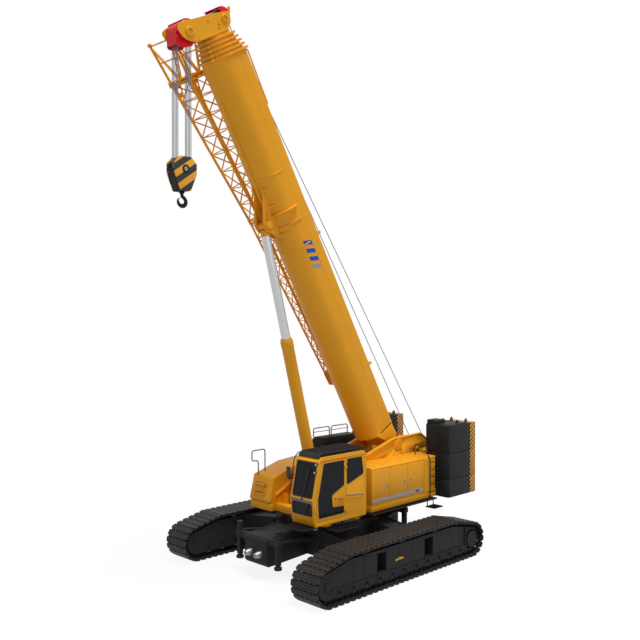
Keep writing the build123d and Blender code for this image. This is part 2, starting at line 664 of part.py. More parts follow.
SEAT_X = 620.0
with BuildPart() as seat:
    with Locations((SEAT_X, CAB_MID, CAB_LOW + CAB_WALL + SEAT_GAP + 150)):
        Box(420, 380, 300)
    with Locations((SEAT_X + 20, CAB_MID, CAB_LOW + CAB_WALL + 300 + 60)):
        Box(520, 460, 125)
    with BuildSketch(side_at(CAB_MID)):
        with BuildLine():
            Polyline((SEAT_X - 230, 1850.0), (SEAT_X - 110, 1850.0), (SEAT_X - 230, 2560.0),
                     (SEAT_X - 330, 2560.0), close=True)
        make_face()
    extrude(amount=215, both=True)
save(seat, "operator_seat")
with BuildPart() as console:
    for side in (-1, 1):
        with Locations((SEAT_X + 150, CAB_MID + side * 300, CAB_LOW + CAB_WALL + SEAT_GAP + 300)):
            Box(560, 110, 600)
    with Locations((1640, CAB_MID, CAB_LOW + CAB_WALL + SEAT_GAP + 270)):
        Box(140, 420, 540)
save(console, "control_consoles")

GUARD_BARS = 7
with BuildPart() as roof_guard:
    for y in (CAB_IN + 40, CAB_OUT - 60):
        with Locations((820, y, CAB_TOP + 50 + SEAT_GAP)):
            Box(1640, 40, 100)
    for i in range(GUARD_BARS):
        with Locations((20 + 1600 * i / (GUARD_BARS - 1), CAB_MID - 10, CAB_TOP + 83)):
            Box(40, CAB_WIDE - 100, 30)
save(roof_guard, "cab_roof_guard")

# ---------------------------------------------------------------- bodywork
with BuildPart() as left_body:
    with BuildSketch(Plane.XY.offset(BODY_LOW)):
        with BuildLine():
            Polyline((BODY_FRONT, PLATE_OUT + 2), (BODY_FRONT, BODY_OUT), (-2790.0, BODY_OUT),
                     (BODY_REAR, 1380.0), (BODY_REAR, PLATE_OUT + 2), close=True)
        make_face()
    extrude(amount=BODY_TOP - BODY_LOW)
    chamfer(left_body.faces().sort_by(Axis.Z)[-1].edges().sort_by(Axis.Y)[-1], 28)
    # gaps between the doors, and under the roof panel
    for x in DOOR_SEAMS:
        with Locations((x, BODY_OUT, (BODY_LOW + DOOR_TOP) / 2)):
            Box(SEAM_WIDE, 2 * SEAM_DEEP, DOOR_TOP - BODY_LOW, mode=Mode.SUBTRACT)
    with Locations(((BODY_FRONT + DOOR_SEAMS[-1]) / 2, BODY_OUT, DOOR_TOP)):
        Box(BODY_FRONT - DOOR_SEAMS[-1], 2 * SEAM_DEEP, SEAM_WIDE, mode=Mode.SUBTRACT)
    for i in range(ROOF_RIBS):
        with Locations((BODY_FRONT - 280 - 400 * i, (BODY_IN + BODY_OUT) / 2 - 60, BODY_TOP + 4)):
            Box(30, 660, 10)
save(left_body, "left_housing")

HOOD_SIDE = [(1655.0, BODY_LOW), (1470.0, 2360.0), (560.0, 2620.0), (0.0, BODY_TOP), (BODY_REAR, BODY_TOP),
             (BODY_REAR, BODY_LOW)]
with BuildPart() as hood:
    with BuildSketch(side_at(-(PLATE_OUT + 2 + BODY_OUT) / 2)):
        with BuildLine():
            Polyline(*HOOD_SIDE, close=True)
        make_face()
    extrude(amount=(BODY_OUT - PLATE_OUT - 2) / 2, both=True)
    for z, reach in ((2150.0, 190.0), (1880.0, 170.0)):
        with Locations((1530 + 40, -1080, z)):
            Box(reach, 520, 46)
    for x, z in LOUVRES:
        with Locations((x + LOUVRE_LONG / 2, -(PLATE_OUT + 2), z)):
            Box(LOUVRE_LONG, 16, 28, mode=Mode.SUBTRACT)
        with Locations((x + LOUVRE_LONG / 2, -(PLATE_OUT + 2) + 5, z + 17)):
            Box(LOUVRE_LONG + 20, 14, 12)
save(hood, "right_housing")

ENGINE_TALL = 500.0
EXHAUST_TALL = 540.0
GRILLE_SLATS = 18
with BuildPart() as engine:
    with Locations((-1620, -1220, BODY_TOP + SEAT_GAP + ENGINE_TALL / 2)):
        Box(1560, 480, ENGINE_TALL)
    with Locations((-2700, -1000, BODY_TOP + SEAT_GAP + EXHAUST_TALL / 2)):
        Box(520, 560, EXHAUST_TALL)
    with Locations((-2620, -980, BODY_TOP + SEAT_GAP + EXHAUST_TALL + 50)):
        Cylinder(66, 102)
    # slats of the grilles on both long sides
    for i in range(GRILLE_SLATS):
        for y in (-1460.0, -980.0):
            with Locations((-2330 + 83 * i, y, BODY_TOP + 225)):
                Box(30, 24, 340)
save(engine, "cooling_and_exhaust")

with BuildPart() as walkway:
    # sill plate under the left bodywork, with a step hung from its rear end
    with Locations((-1600, BODY_OUT + 30, DECK_LOW - SEAT_GAP - 18)):
        Box(2900, 240, 36)
    with Locations((-2850, BODY_OUT + 190, STEP_LOW)):
        Box(420, 340, 26)
    with Locations((-2850, BODY_OUT + 40, (DECK_LOW - 20 + STEP_LOW) / 2)):
        Box(300, 30, DECK_LOW - 20 - STEP_LOW)
    # steps at the side and the front of the cab, hung from its underside
    with Locations((1050, BODY_OUT + 140, CAB_ARM_LOW - SEAT_GAP - 15)):
        Box(800, 460, 30)
    with Locations((1050, CAB_OUT - 50, (CAB_LOW - SEAT_GAP + 1320) / 2)):
        Box(400, 60, CAB_LOW - SEAT_GAP - 1320)
    with Locations((2100, CAB_MID + 40, CAB_LOW - SEAT_GAP - 15)):
        Box(500, 760, 30)
    # ladder on the rear of the sill, with stays to its foot plate
    for x in LADDER_X:
        with Locations((x, LADDER_Y, (DECK_LOW - 2 + LADDER_TOP) / 2)):
            Cylinder(LADDER_R, LADDER_TOP - DECK_LOW + 2)
    for i in range(5):
        with Locations((sum(LADDER_X) / 2, LADDER_Y, DECK_LOW + 180 + RUNG_PITCH * i)):
            Box(LADDER_X[1] - LADDER_X[0], 2 * LADDER_R - 4, 2 * LADDER_R - 4)
save(walkway, "walkways")



def hood_top(x):
    """Height of the right housing's sloping nose at a place along it."""
    (x0, z0), (x1, z1) = HOOD_SIDE[1:3]
    return z0 + (z1 - z0) * (x - x0) / (x1 - x0)


def hoop(points, radius):
    """A bent tube that follows a list of corners with round elbows."""
    with BuildLine() as route:
        FilletPolyline(*points, radius=RAIL_BEND)
    start = Vector(*points[1]) - Vector(*points[0])
    with BuildSketch(Plane(origin=points[0], z_dir=start.normalized())) as end:
        Circle(radius)
    sweep(end.sketch, path=route.line)


with BuildPart() as rails:
    hoop([(1440, -1330, hood_top(1440 - RAIL_R) + SEAT_GAP), (1440, -1330, 2740), (1680, -1330, 2765), (1680, -1330, 3050),
          (1190, -1330, 3050), (1190, -1330, hood_top(1190 - RAIL_R) + SEAT_GAP)], RAIL_R)
    for x0, x1 in ((-860, -1560), (-1640, -2380)):
        low = BODY_TOP + ENGINE_TALL + 2 * SEAT_GAP
        hoop([(x0, -1425, low), (x0, -1425, 3420), (x1, -1425, 3420), (x1, -1425, low)], RAIL_R)
save(rails, "handrails")

# ---------------------------------------------------------------- counterweight
slabs = [CW_LOW + 0.0, *CW_SEAMS, CW_TOP]
for name, side in (("left", 1), ("right", -1)):
    with BuildPart() as stack:
        for low, high in zip(slabs, slabs[1:]):
            with Locations(((CW_FRONT + CW_REAR) / 2, side * (CW_OUT + CW_IN) / 2, (low + high) / 2 + SEAT_GAP / 2)):
                Box(CW_FRONT - CW_REAR, CW_OUT - CW_IN, high - low - SEAT_GAP)
        with Locations((CW_FRONT - 240, side * (CW_IN + 210), CW_TOP + 60)):
            Box(420, 380, 120)
        # lifting eyes on the top slab, and a ladder up the front
        for x in CW_EYES_X:
            for y in CW_EYES_Y:
                with BuildSketch(side_at(side * y)) as eye:
                    with BuildLine():
                        Polyline((x - 70, CW_TOP - 1), (x + 70, CW_TOP - 1), (x + 55, CW_TOP + 80), (x + 20, CW_TOP + 110),
                                 (x - 20, CW_TOP + 110), (x - 55, CW_TOP + 80), close=True)
                    make_face()
                    with Locations((x, CW_TOP + 60)):
                        Circle(28, mode=Mode.SUBTRACT)
                extrude(eye.sketch, amount=15, both=True)
        for y in CW_LADDER_Y:
            with Locations((CW_FRONT + CW_LADDER_OUT, side * y, (CW_LOW + 260 + CW_TOP - 40) / 2)):
                Box(24, 24, CW_TOP - CW_LOW - 300)
            for z in (CW_LOW + 280, CW_TOP - 60):
                with Locations((CW_FRONT + CW_LADDER_OUT / 2, side * y, z)):
                    Box(CW_LADDER_OUT + 4, 24, 24)
        for i in range(CW_RUNGS):
            with Locations((CW_FRONT + CW_LADDER_OUT, side * sum(CW_LADDER_Y) / 2, CW_LOW + 400 + RUNG_PITCH * i)):
                Box(20, CW_LADDER_Y[1] - CW_LADDER_Y[0], 20)
    save(stack, f"counterweight_{name}")

# ---------------------------------------------------------------- boom
def section_size(number):
    """Half width and height of a boom section; number 1 is the base."""
    return BOOM_HALF - (number - 1) * NEST_STEP, BOOM_TALL - 2 * (number - 1) * NEST_STEP


def section_face(along, number, grow=0.0):
    """Solid face of a section's outline, grown outwards, on its own plane."""
    with BuildSketch(boom_section(along)) as face:
        with BuildLine():
            Polyline(*section_points(*section_size(number)), close=True)
        make_face()
        if grow:
            offset(amount=grow, kind=Kind.INTERSECTION, mode=Mode.REPLACE)
    return face.sketch


def section_end(number):
    """Front end of a section, along the boom."""
    return BASE_END + (number - 1) * COLLAR_PITCH


def front_collar(number):
    """Flange with wear faces that carries the next section, with its guide blocks on top."""
    end = section_end(number)
    half, tall = section_size(number)
    extrude(section_face(end - COLLAR_THICK, number, COLLAR_RISE), amount=COLLAR_THICK)
    for side in (-1, 1):
        with BuildSketch(boom_section(end - COLLAR_THICK + 6)) as block:
            with Locations((side * (half - 90), tall / 2 + COLLAR_RISE + 30)):
                Rectangle(120, 80)
        extrude(block.sketch, amount=COLLAR_THICK - 12)


def hollow(number, start):
    """Clear the inside of a section up to its collar, and the wear opening through the collar."""
    inside = section_end(number) - COLLAR_THICK
    extrude(section_face(start, number, -BOOM_WALL), amount=inside - start, mode=Mode.SUBTRACT)
    extrude(section_face(inside - 1, number + 1, FIT_GAP), amount=COLLAR_THICK + 2, mode=Mode.SUBTRACT)


with BuildPart() as base:
    half, tall = section_size(1)
    extrude(section_face(BASE_START, 1), amount=BASE_END - BASE_START)
    front_collar(1)
    # bracket for the lift cylinder: two long ear plates, a saddle rib and the pin bosses
    for side in (-1, 1):
        with BuildSketch(boom_side(side * (EAR_HALF - EAR_PLATE / 2))) as ear:
            with BuildLine():
                Polyline((EAR[0] + 1230, -tall / 2 + 60), (EAR[0] + 770, -tall / 2 - 57), (EAR[0] + 170, EAR[1] - 105),
                         (EAR[0] + 80, EAR[1] - 135), (EAR[0] - 90, EAR[1] - 130), (EAR[0] - 150, EAR[1] - 85),
                         (EAR[0] - 330, EAR[1] + 100), (EAR[0] - 560, -tall / 2 + 60), close=True)
            make_face()
            with Locations(EAR):
                Circle(ROD_PIN_R + SEAT_GAP, mode=Mode.SUBTRACT)
        extrude(ear.sketch, amount=EAR_PLATE / 2, both=True)
        with BuildSketch(boom_side(side * (EAR_HALF - 2))) as boss:
            with Locations(EAR):
                Circle(105)
                Circle(ROD_PIN_R + SEAT_GAP, mode=Mode.SUBTRACT)
        extrude(boss.sketch, amount=-side * 70)
    with BuildSketch(boom_section(EAR[0] + 130)) as rib:
        with BuildLine():
            Polyline(*section_points(*section_size(1)), close=True)
        make_face()
        offset(amount=95, kind=Kind.INTERSECTION, mode=Mode.REPLACE)
        with Locations((0, 100 + tall)):
            Rectangle(4 * half, 2 * tall, mode=Mode.SUBTRACT)
    extrude(rib.sketch, amount=40)
    # stiffening rail under the boom
    with BuildSketch(boom_section(BELLY_RAIL[0])) as rail:
        with Locations((0, -tall / 2 - 12)):
            Rectangle(90, 60)
    extrude(rail.sketch, amount=BELLY_RAIL[1] - BELLY_RAIL[0])
    # rope guide over the front end: two side rails on feet, and a roller bar at both ends
    foot_n = tall / 2 - 3
    for side in (-1, 1):
        with BuildSketch(boom_side(side * GUIDE_Y)) as guide:
            with BuildLine():
                Polyline((GUIDE_FRONT, foot_n), (GUIDE_FRONT, GUIDE_N + 20), (GUIDE_REAR, GUIDE_N - 15), (GUIDE_REAR, foot_n),
                         (GUIDE_REAR + 36, foot_n), (GUIDE_REAR + 36, GUIDE_N - 51), (GUIDE_FRONT - 36, GUIDE_N - 16),
                         (GUIDE_FRONT - 36, foot_n), close=True)
            make_face()
        extrude(guide.sketch, amount=GUIDE_R, both=True)
    for along, above in ((GUIDE_FRONT - 20, GUIDE_N - 2), (GUIDE_REAR + 20, GUIDE_N - 38)):
        with BuildSketch(boom_side(0)) as bar_end:
            with Locations((along, above)):
                Circle(GUIDE_BAR_R)
        extrude(bar_end.sketch, amount=GUIDE_Y, both=True)
    # posts that keep the hoist ropes off the boom
    for along in POSTS:
        for side in (-1, 1):
            with BuildSketch(boom_side(side * GUIDE_Y)) as post:
                with BuildLine():
                    Polyline((along - 50, foot_n), (along + 50, foot_n), (along + 30, foot_n + POST_TALL),
                             (along - 30, foot_n + POST_TALL), close=True)
                make_face()
            extrude(post.sketch, amount=8, both=True)
        with BuildSketch(boom_side(0)) as roller:
            with Locations((along, foot_n + POST_TALL - 32)):
                Circle(28)
        extrude(roller.sketch, amount=GUIDE_Y, both=True)
    # foot plates and the pivot tube
    for side in (-1, 1):
        with BuildSketch(boom_side(side * (half - 30))) as foot:
            with BuildLine():
                Polyline((BASE_START + 5, tall / 2 - 70), (0, BOOM_DROP + 165), (-165, BOOM_DROP), (-90, BOOM_DROP - 150),
                         (BASE_START + 5, -tall / 2 + 260), close=True)
            make_face()
        extrude(foot.sketch, amount=30, both=True)
    # hollow for the inner sections, closed at the rear by a bulkhead
    hollow(1, BASE_START + BULKHEAD)
    disc(PIVOT_X, PIVOT_Z, 0, 150, PLATE_OUT - PLATE_THICK - SEAT_GAP)
    disc(PIVOT_X, PIVOT_Z, 0, PIVOT_PIN_R, PLATE_OUT + 35)
save(base, "boom_base_section")

for number in range(2, SECTIONS + 1):
    start = BASE_START + BULKHEAD + SECTION_TAIL * (number - 1)
    with BuildPart() as section:
        if number < SECTIONS:
            extrude(section_face(start, number), amount=section_end(number) - start)
            front_collar(number)
            hollow(number, start)
        else:
            extrude(section_face(start, number), amount=HEAD_START - start)
            extrude(section_face(start, number, -BOOM_WALL), amount=HEAD_START - start, mode=Mode.SUBTRACT)
    save(section, f"boom_section_{number}")

# ---------------------------------------------------------------- boom head
HEAD_FOOT = HEAD_START + SEAT_GAP
HEAD_SIDE = [(HEAD_FOOT, 288.0), (12830.0, 480.0), (12873.0, 505.0), (13070.0, 572.0), (13105.0, 545.0),
             (13185.0, 6.0), (13248.0, -867.0), (13245.0, -1070.0), (13215.0, -1140.0), (13150.0, -1175.0),
             (12960.0, -1125.0), (12860.0, -1050.0), (12780.0, -940.0), (HEAD_FOOT, -729.0)]
with BuildPart() as head:
    for side in (-1, 1):
        with BuildSketch(boom_side(side * (HEAD_HALF - HEAD_PLATE / 2))) as plate:
            with BuildLine():
                Polyline(*HEAD_SIDE, close=True)
            make_face()
            with Locations(HUB_LOW, HUB_HIGH):
                Circle(HUB_PIN_R + SEAT_GAP, mode=Mode.SUBTRACT)
        extrude(plate.sketch, amount=HEAD_PLATE / 2, both=True)
        for (along, above), radius in ((HUB_LOW, 115.0), (HUB_HIGH, 95.0)):
            with BuildSketch(boom_side(side * (HEAD_HALF - 1))) as boss:
                with Locations((along, above)):
                    Circle(radius)
                    Circle(HUB_PIN_R + SEAT_GAP, mode=Mode.SUBTRACT)
            extrude(boss.sketch, amount=-side * (HEAD_BOSS + 1))
        # eye at the rear corner
        with BuildSketch(boom_side(side * (HEAD_HALF - HEAD_PLATE / 2))) as eye:
            with BuildLine():
                Polyline((13020, 520), (13060, 470), (13200, 570), (13215, 625), (13190, 650), (13150, 645), close=True)
            make_face()
        extrude(eye.sketch, amount=12, both=True)
    with BuildSketch(boom_section(HEAD_FOOT)) as web:
        with Locations((0, -55)):
            Rectangle(2 * (HEAD_HALF - HEAD_PLATE) + 2, 770)
    extrude(web.sketch, amount=30)
    # box between the plates behind the lower sheaves
    with BuildSketch(boom_side(0)) as box:
        with BuildLine():
            Polyline((HEAD_FOOT + 20, -435), (13060, -400), (13040, 20), (HEAD_FOOT + 20, 50), (HEAD_FOOT + 20, 20),
                     (13012, -8), (13030, -370), (HEAD_FOOT + 20, -405), close=True)
        make_face()
    extrude(box.sketch, amount=HEAD_HALF - HEAD_PLATE + 1, both=True)
save(head, "boom_head")



def grooved_wheel(centre, radius, half):
    """A sheave on a crosswise axis, with a groove for one rope."""
    with BuildSketch(Plane(origin=centre, x_dir=(1, 0, 0), z_dir=(0, 0, 1))) as rim:
        with BuildLine():
            Polyline((0, -half), (radius, -half), (radius, 5 - half), (radius - GROOVE, -FALL_R - 1),
                     (radius - GROOVE, FALL_R + 1), (radius, half - 5), (radius, half), (0, half), close=True)
        make_face()
    revolve(rim.sketch, axis=Axis(centre, (0, 1, 0)))


with BuildPart() as sheaves:
    for hub, radius, row_half in ((HUB_LOW, SHEAVE_R, SHEAVE_HALF), (HUB_HIGH, TOP_SHEAVE_R, TOP_SHEAVE_HALF)):
        for i in range(SHEAVE_COUNT):
            wide = 2 * row_half / SHEAVE_COUNT
            y = -row_half + wide * (i + 0.5)
            grooved_wheel(boom_point(*hub, y), radius, wide / 2 - 6)
        with BuildSketch(boom_side(0)) as pin:
            with Locations(hub):
                Circle(HUB_PIN_R)
        extrude(pin.sketch, amount=HEAD_HALF + 25, both=True)
save(sheaves, "head_sheaves")



def arc_strip(centre, inner, outer, low, high, half):
    """A curved plate about a crosswise axis, from one angle above the horizontal to another."""
    with BuildSketch(Plane(origin=centre, x_dir=(1, 0, 0), z_dir=(0, -1, 0))) as strip:
        with BuildLine():
            CenterArc((0, 0), outer, low, high - low)
            CenterArc((0, 0), inner, low, high - low)
            for angle in (low, high):
                turn = radians(angle)
                Line((inner * cos(turn), inner * sin(turn)), (outer * cos(turn), outer * sin(turn)))
        make_face()
    extrude(strip.sketch, amount=half, both=True)


INNER_HALF = HEAD_HALF - HEAD_PLATE - SEAT_GAP
FIXED_GUARD_R = GUARD_R + GUARD_CLEAR + GUARD_PLATE
TOP_GUARD_R = TOP_SHEAVE_R + 67
hub = boom_point(*HUB_LOW)
with BuildPart() as guards:
    arc_strip(hub, FIXED_GUARD_R - GUARD_PLATE, FIXED_GUARD_R, *FIXED_GUARD_ARC, half=INNER_HALF)
    arc_strip(boom_point(*HUB_HIGH), TOP_GUARD_R - GUARD_PLATE, TOP_GUARD_R, 10, 128, INNER_HALF)
    # cheeks against the head's side plates
    for side in (-1, 1):
        y = side * (INNER_HALF - GUARD_PLATE / 2)
        arc_strip(hub + Vector(0, y, 0), 200, FIXED_GUARD_R, *FIXED_GUARD_ARC, half=GUARD_PLATE / 2)
        arc_strip(boom_point(*HUB_HIGH, y), 130, TOP_GUARD_R, 10, 128, GUARD_PLATE / 2)
save(guards, "sheave_guards")



def guard_corner(radius, angle):
    """A point of the swinging guard, at an angle above the horizontal round its axle."""
    return hub.X + radius * cos(radians(angle)), hub.Z + radius * sin(radians(angle))


def guard_front(inset):
    """The swinging guard's front: an arc over the sheaves, then straight down to its mouth."""
    radius = GUARD_R - inset
    CenterArc((hub.X, hub.Z), radius, 0, GUARD_BACK)
    Line((hub.X + radius, hub.Z), (hub.X + radius, hub.Z - GUARD_DROP))


with BuildPart() as swing_guard:
    for side in (-1, 1):
        with BuildSketch(side_at(side * (GUARD_HALF - GUARD_PLATE / 2))) as cheek:
            with BuildLine():
                guard_front(0)
                Polyline((hub.X + GUARD_R, hub.Z - GUARD_DROP), (hub.X + GUARD_TAIL[0], hub.Z + GUARD_TAIL[1]),
                         guard_corner(GUARD_R, GUARD_BACK))
            make_face()
            with Locations((hub.X, hub.Z)):
                Circle(HUB_PIN_R + SEAT_GAP, mode=Mode.SUBTRACT)
        extrude(cheek.sketch, amount=GUARD_PLATE / 2, both=True)
    with BuildSketch(side_at(0)) as strip:
        with BuildLine():
            guard_front(0)
            Line((hub.X + GUARD_R, hub.Z - GUARD_DROP), (hub.X + GUARD_R - GUARD_PLATE, hub.Z - GUARD_DROP))
            guard_front(GUARD_PLATE)
            Line(guard_corner(GUARD_R - GUARD_PLATE, GUARD_BACK), guard_corner(GUARD_R, GUARD_BACK))
        make_face()
    extrude(strip.sketch, amount=GUARD_HALF, both=True)
save(swing_guard, "swinging_rope_guard")

# ---------------------------------------------------------------- lift cylinder
rod_pin = boom_point(*EAR)
foot_pin = Vector(FOOT_X, 0, FOOT_Z)
stroke_line = (rod_pin - foot_pin).normalized()
ROD_LONG = 4650.0
EYE_HALF = EAR_HALF - EAR_PLATE - SEAT_GAP
with BuildPart() as barrel:
    for low, high, radius in ((120.0, 420.0, BARREL_R), (410.0, BARREL_LONG - 260, BARREL_R - 10),
                              (BARREL_LONG - 270, BARREL_LONG - 60, BARREL_R),
                              (BARREL_LONG - 70, BARREL_LONG, BARREL_R - 20)):
        with BuildSketch(Plane(origin=foot_pin + stroke_line * low, z_dir=stroke_line)) as tube:
            Circle(radius)
        extrude(tube.sketch, amount=high - low)
    disc(FOOT_X, FOOT_Z, 0, 150, LUG_Y - LUG_PLATE / 2 - SEAT_GAP)
    with BuildSketch(Plane(origin=foot_pin + stroke_line * 290, z_dir=stroke_line)) as bore:
        Circle(ROD_R + SEAT_GAP)
    extrude(bore.sketch, amount=BARREL_LONG, mode=Mode.SUBTRACT)
save(barrel, "lift_cylinder_barrel")
with BuildPart() as rod:
    with BuildSketch(Plane(origin=rod_pin - stroke_line * ROD_LONG, z_dir=stroke_line)) as bar:
        Circle(ROD_R)
    extrude(bar.sketch, amount=ROD_LONG - 80)
    disc(rod_pin.X, rod_pin.Z, 0, 100, EYE_HALF)
    disc(rod_pin.X, rod_pin.Z, 0, ROD_PIN_R, EAR_HALF + 80)
save(rod, "lift_cylinder_rod")

# ---------------------------------------------------------------- hook tackle
with BuildPart() as falls:
    for end in (-1, 1):
        for i in range(FALLS):
            y = -SHEAVE_HALF + 2 * SHEAVE_HALF / FALLS * (i + 0.5)
            with BuildSketch(Plane.XY.offset(HOOK_TOP)) as rope:
                with Locations((hub.X + end * (SHEAVE_R - GROOVE + FALL_R + SEAT_GAP), y)):
                    Circle(FALL_R)
            extrude(rope.sketch, amount=hub.Z - HOOK_TOP)
save(falls, "hook_falls")

CHEEK = [(-325.0, -110.0), (-325.0, 140.0), (-170.0, 300.0), (170.0, 300.0), (325.0, 140.0), (325.0, -110.0),
         (150.0, -BLOCK_FOOT), (-150.0, -BLOCK_FOOT)]
with BuildPart() as block:
    for y in (-BLOCK_HALF + BLOCK_CHEEK / 2, BLOCK_HALF - BLOCK_CHEEK / 2):
        with BuildSketch(Plane(origin=(hub.X, y, HOOK_TOP), x_dir=(1, 0, 0), z_dir=(0, -1, 0))) as cheek:
            with BuildLine():
                Polyline(*CHEEK, close=True)
            make_face()
        extrude(cheek.sketch, amount=BLOCK_CHEEK / 2, both=True)
    for i in range(SHEAVE_COUNT):
        wide = 2 * SHEAVE_HALF / SHEAVE_COUNT
        grooved_wheel(Vector(hub.X, -SHEAVE_HALF + wide * (i + 0.5), HOOK_TOP), SHEAVE_R, wide / 2 - 6)
    disc(hub.X, HOOK_TOP, 0, 60, BLOCK_HALF + 25)
    with Locations((hub.X, 0, HOOK_TOP - BLOCK_FOOT + 85)):
        Box(240, 2 * BLOCK_HALF - 10, 170)
    # straps over the front and the rear of the sheaves
    for end in (-1, 1):
        with Locations((hub.X + end * 240, 0, HOOK_TOP - 90)):
            Box(34, 2 * BLOCK_HALF - 4, 90)
save(block, "hook_block")

HOOK_NECK = HOOK_TOP - BLOCK_FOOT
with BuildPart() as hook:
    with BuildSketch(Plane.XY.offset(HOOK_NECK - 110)) as neck:
        with Locations((hub.X, 0)):
            Circle(48)
    extrude(neck.sketch, amount=110 - SEAT_GAP)
    with BuildSketch(Plane(origin=(hub.X, 0, HOOK_NECK - HOOK_DROP), x_dir=(1, 0, 0), z_dir=(0, -1, 0))) as bowl:
        Circle(HOOK_R)
        with Locations((10, 20)):
            Circle(HOOK_BOWL_R, mode=Mode.SUBTRACT)
        with Locations((135, 108)):
            Rectangle(145, 98, rotation=35, mode=Mode.SUBTRACT)
    extrude(bowl.sketch, amount=HOOK_HALF, both=True)
save(hook, "hook")

# ---------------------------------------------------------------- stowed lattice jib
JIB_SIZES = {JIB_ROOT: 880.0, JIB_JOINT: 790.0, JIB_FOOT: 430.0, JIB_TIP: 180.0}     # width of the jib at each


def jib_corner(along, across, down):
    """A chord's centre: across is 0 at the boom's side and 1 outside, down is 0 above and 1 below."""
    stations = sorted(JIB_SIZES)
    for low, high in zip(stations, stations[1:]):
        if low <= along <= high:
            break
    share = (along - low) / (high - low)
    size = JIB_SIZES[low] + (JIB_SIZES[high] - JIB_SIZES[low]) * share
    return boom_point(along, JIB_N - down * size * 0.92, JIB_Y - across * size)


def bar(start, end, radius):
    """One bar of the lattice, rolled to eight flats, kept apart until all of them are joined."""
    line = end - start
    outline = Plane(origin=start, z_dir=line.normalized()) * RegularPolygon(radius, BAR_SIDES)
    return Solid.extrude(outline.faces()[0], line)


def lattice(low, high, bays, chord, lace):
    """Four chords with zigzag lacing on all four faces."""
    corners = ((0, 0), (1, 0), (1, 1), (0, 1))
    bars = [bar(jib_corner(low, *c), jib_corner(high, *c), chord) for c in corners]
    for face in range(4):
        a, b = corners[face], corners[(face + 1) % 4]
        for i in range(bays):
            s0 = low + (high - low) * i / bays
            s1 = low + (high - low) * (i + 1) / bays
            first, second = (a, b) if i % 2 else (b, a)
            bars.append(bar(jib_corner(s0, *first), jib_corner(s1, *second), lace))
        for s in (low, high):
            bars.append(bar(jib_corner(s, *a), jib_corner(s, *b), lace * 1.2))
    return bars


def welded(bars):
    """All bars of a lattice joined in one step."""
    return bars[0].fuse(*bars[1:])


def fork(chord, lace):
    """Root fork: the chords run on to their pin lugs, with a pair of crossed stays on every side."""
    corners = ((0, 0), (1, 0), (1, 1), (0, 1))
    bars = [bar(jib_corner(JIB_JOINT, *c), jib_corner(JIB_ROOT, *c), chord) for c in corners]
    for face in range(4):
        a, b = corners[face], corners[(face + 1) % 4]
        near_a = jib_corner(JIB_JOINT, *a) * 0.58 + jib_corner(JIB_JOINT, *b) * 0.42
        near_b = jib_corner(JIB_JOINT, *a) * 0.42 + jib_corner(JIB_JOINT, *b) * 0.58
        half_way = (JIB_JOINT + JIB_ROOT) / 2
        bars.append(bar(near_a, jib_corner(JIB_ROOT, *a), lace))
        bars.append(bar(near_b, jib_corner(JIB_ROOT, *b), lace))
        bars.append(bar(jib_corner(half_way, *a), jib_corner(half_way, *b), lace * 0.8))
        bars.append(bar(jib_corner(JIB_ROOT, *a), jib_corner(JIB_ROOT, *b), lace * 0.8))
    return bars


def corner_plate(across, down):
    """A tapering plate with round holes, welded along a chord below the joint box."""
    start, end = jib_corner(JIB_JOINT, across, down), jib_corner(JIB_PLATE_END, across, down)
    toward = -1 if down == 0 else 1
    top = JIB_N - down * JIB_SIZES[JIB_JOINT] * 0.92
    slope = ((end - PIVOT).dot(ABOVE) + BOOM_DROP - top) / (JIB_JOINT - JIB_PLATE_END)
    with BuildSketch(boom_side((start.Y + end.Y) / 2)) as sheet:
        with BuildLine():
            Polyline((JIB_JOINT, top), (JIB_PLATE_END, top + slope * (JIB_JOINT - JIB_PLATE_END)),
                     (JIB_PLATE_END, top + slope * (JIB_JOINT - JIB_PLATE_END) + toward * 30),
                     (JIB_JOINT - 350, top + toward * 190), (JIB_JOINT, top + toward * 240), close=True)
        make_face()
        for back, radius in ((160.0, 60.0), (400.0, 48.0), (640.0, 34.0)):
            with Locations((JIB_JOINT - back, top + slope * back + toward * (115 - 0.07 * back))):
                Circle(radius, mode=Mode.SUBTRACT)
    extrude(sheet.sketch, amount=JIB_PLATE / 2, both=True)


with BuildPart() as joint:
    # joint box round the chords
    size = JIB_SIZES[JIB_JOINT]
    with BuildSketch(boom_section(JIB_JOINT - 60)) as joint_box:
        with Locations((JIB_Y - size / 2, JIB_N - 0.46 * size)):
            Rectangle(size + 90, 0.92 * size + 90)
            Rectangle(size + 60, 0.92 * size + 60, mode=Mode.SUBTRACT)
    extrude(joint_box.sketch, amount=120)
    for across in (0, 1):
        for down in (0, 1):
            corner_plate(across, down)
            with Locations(Plane(origin=jib_corner(JIB_ROOT, across, down), z_dir=(0, 1, 0))):
                Cylinder(LUG_R, LUG_WIDE)
root_bars = lattice(JIB_FOOT, JIB_JOINT + 40, 8, CHORD_R, LACE_R) + fork(CHORD_R, LACE_R * 1.2)
with BuildPart() as jib_main:
    add(welded(root_bars + list(joint.part.solids())))
save(jib_main, "jib_root_section")
tip_bars = lattice(JIB_TIP, JIB_FOOT - 90, 12, CHORD_R * 0.8, LACE_R * 0.85)
with BuildPart() as jib_tip:
    add(welded(tip_bars))
save(jib_tip, "jib_tip_section")

with BuildPart() as bracket:
    for along, chord in ((JIB_FOOT - 150, 0.8 * CHORD_R), (JIB_FOOT + 20, CHORD_R), (JIB_JOINT - 240, CHORD_R)):
        with BuildSketch(boom_section(along)) as arm:
            with Locations(((JIB_Y + chord - BOOM_HALF) / 2, JIB_N)):
                Rectangle(-JIB_Y - BOOM_HALF - chord - 2 * SEAT_GAP, 90)
        extrude(arm.sketch, amount=40)
save(bracket, "jib_brackets")
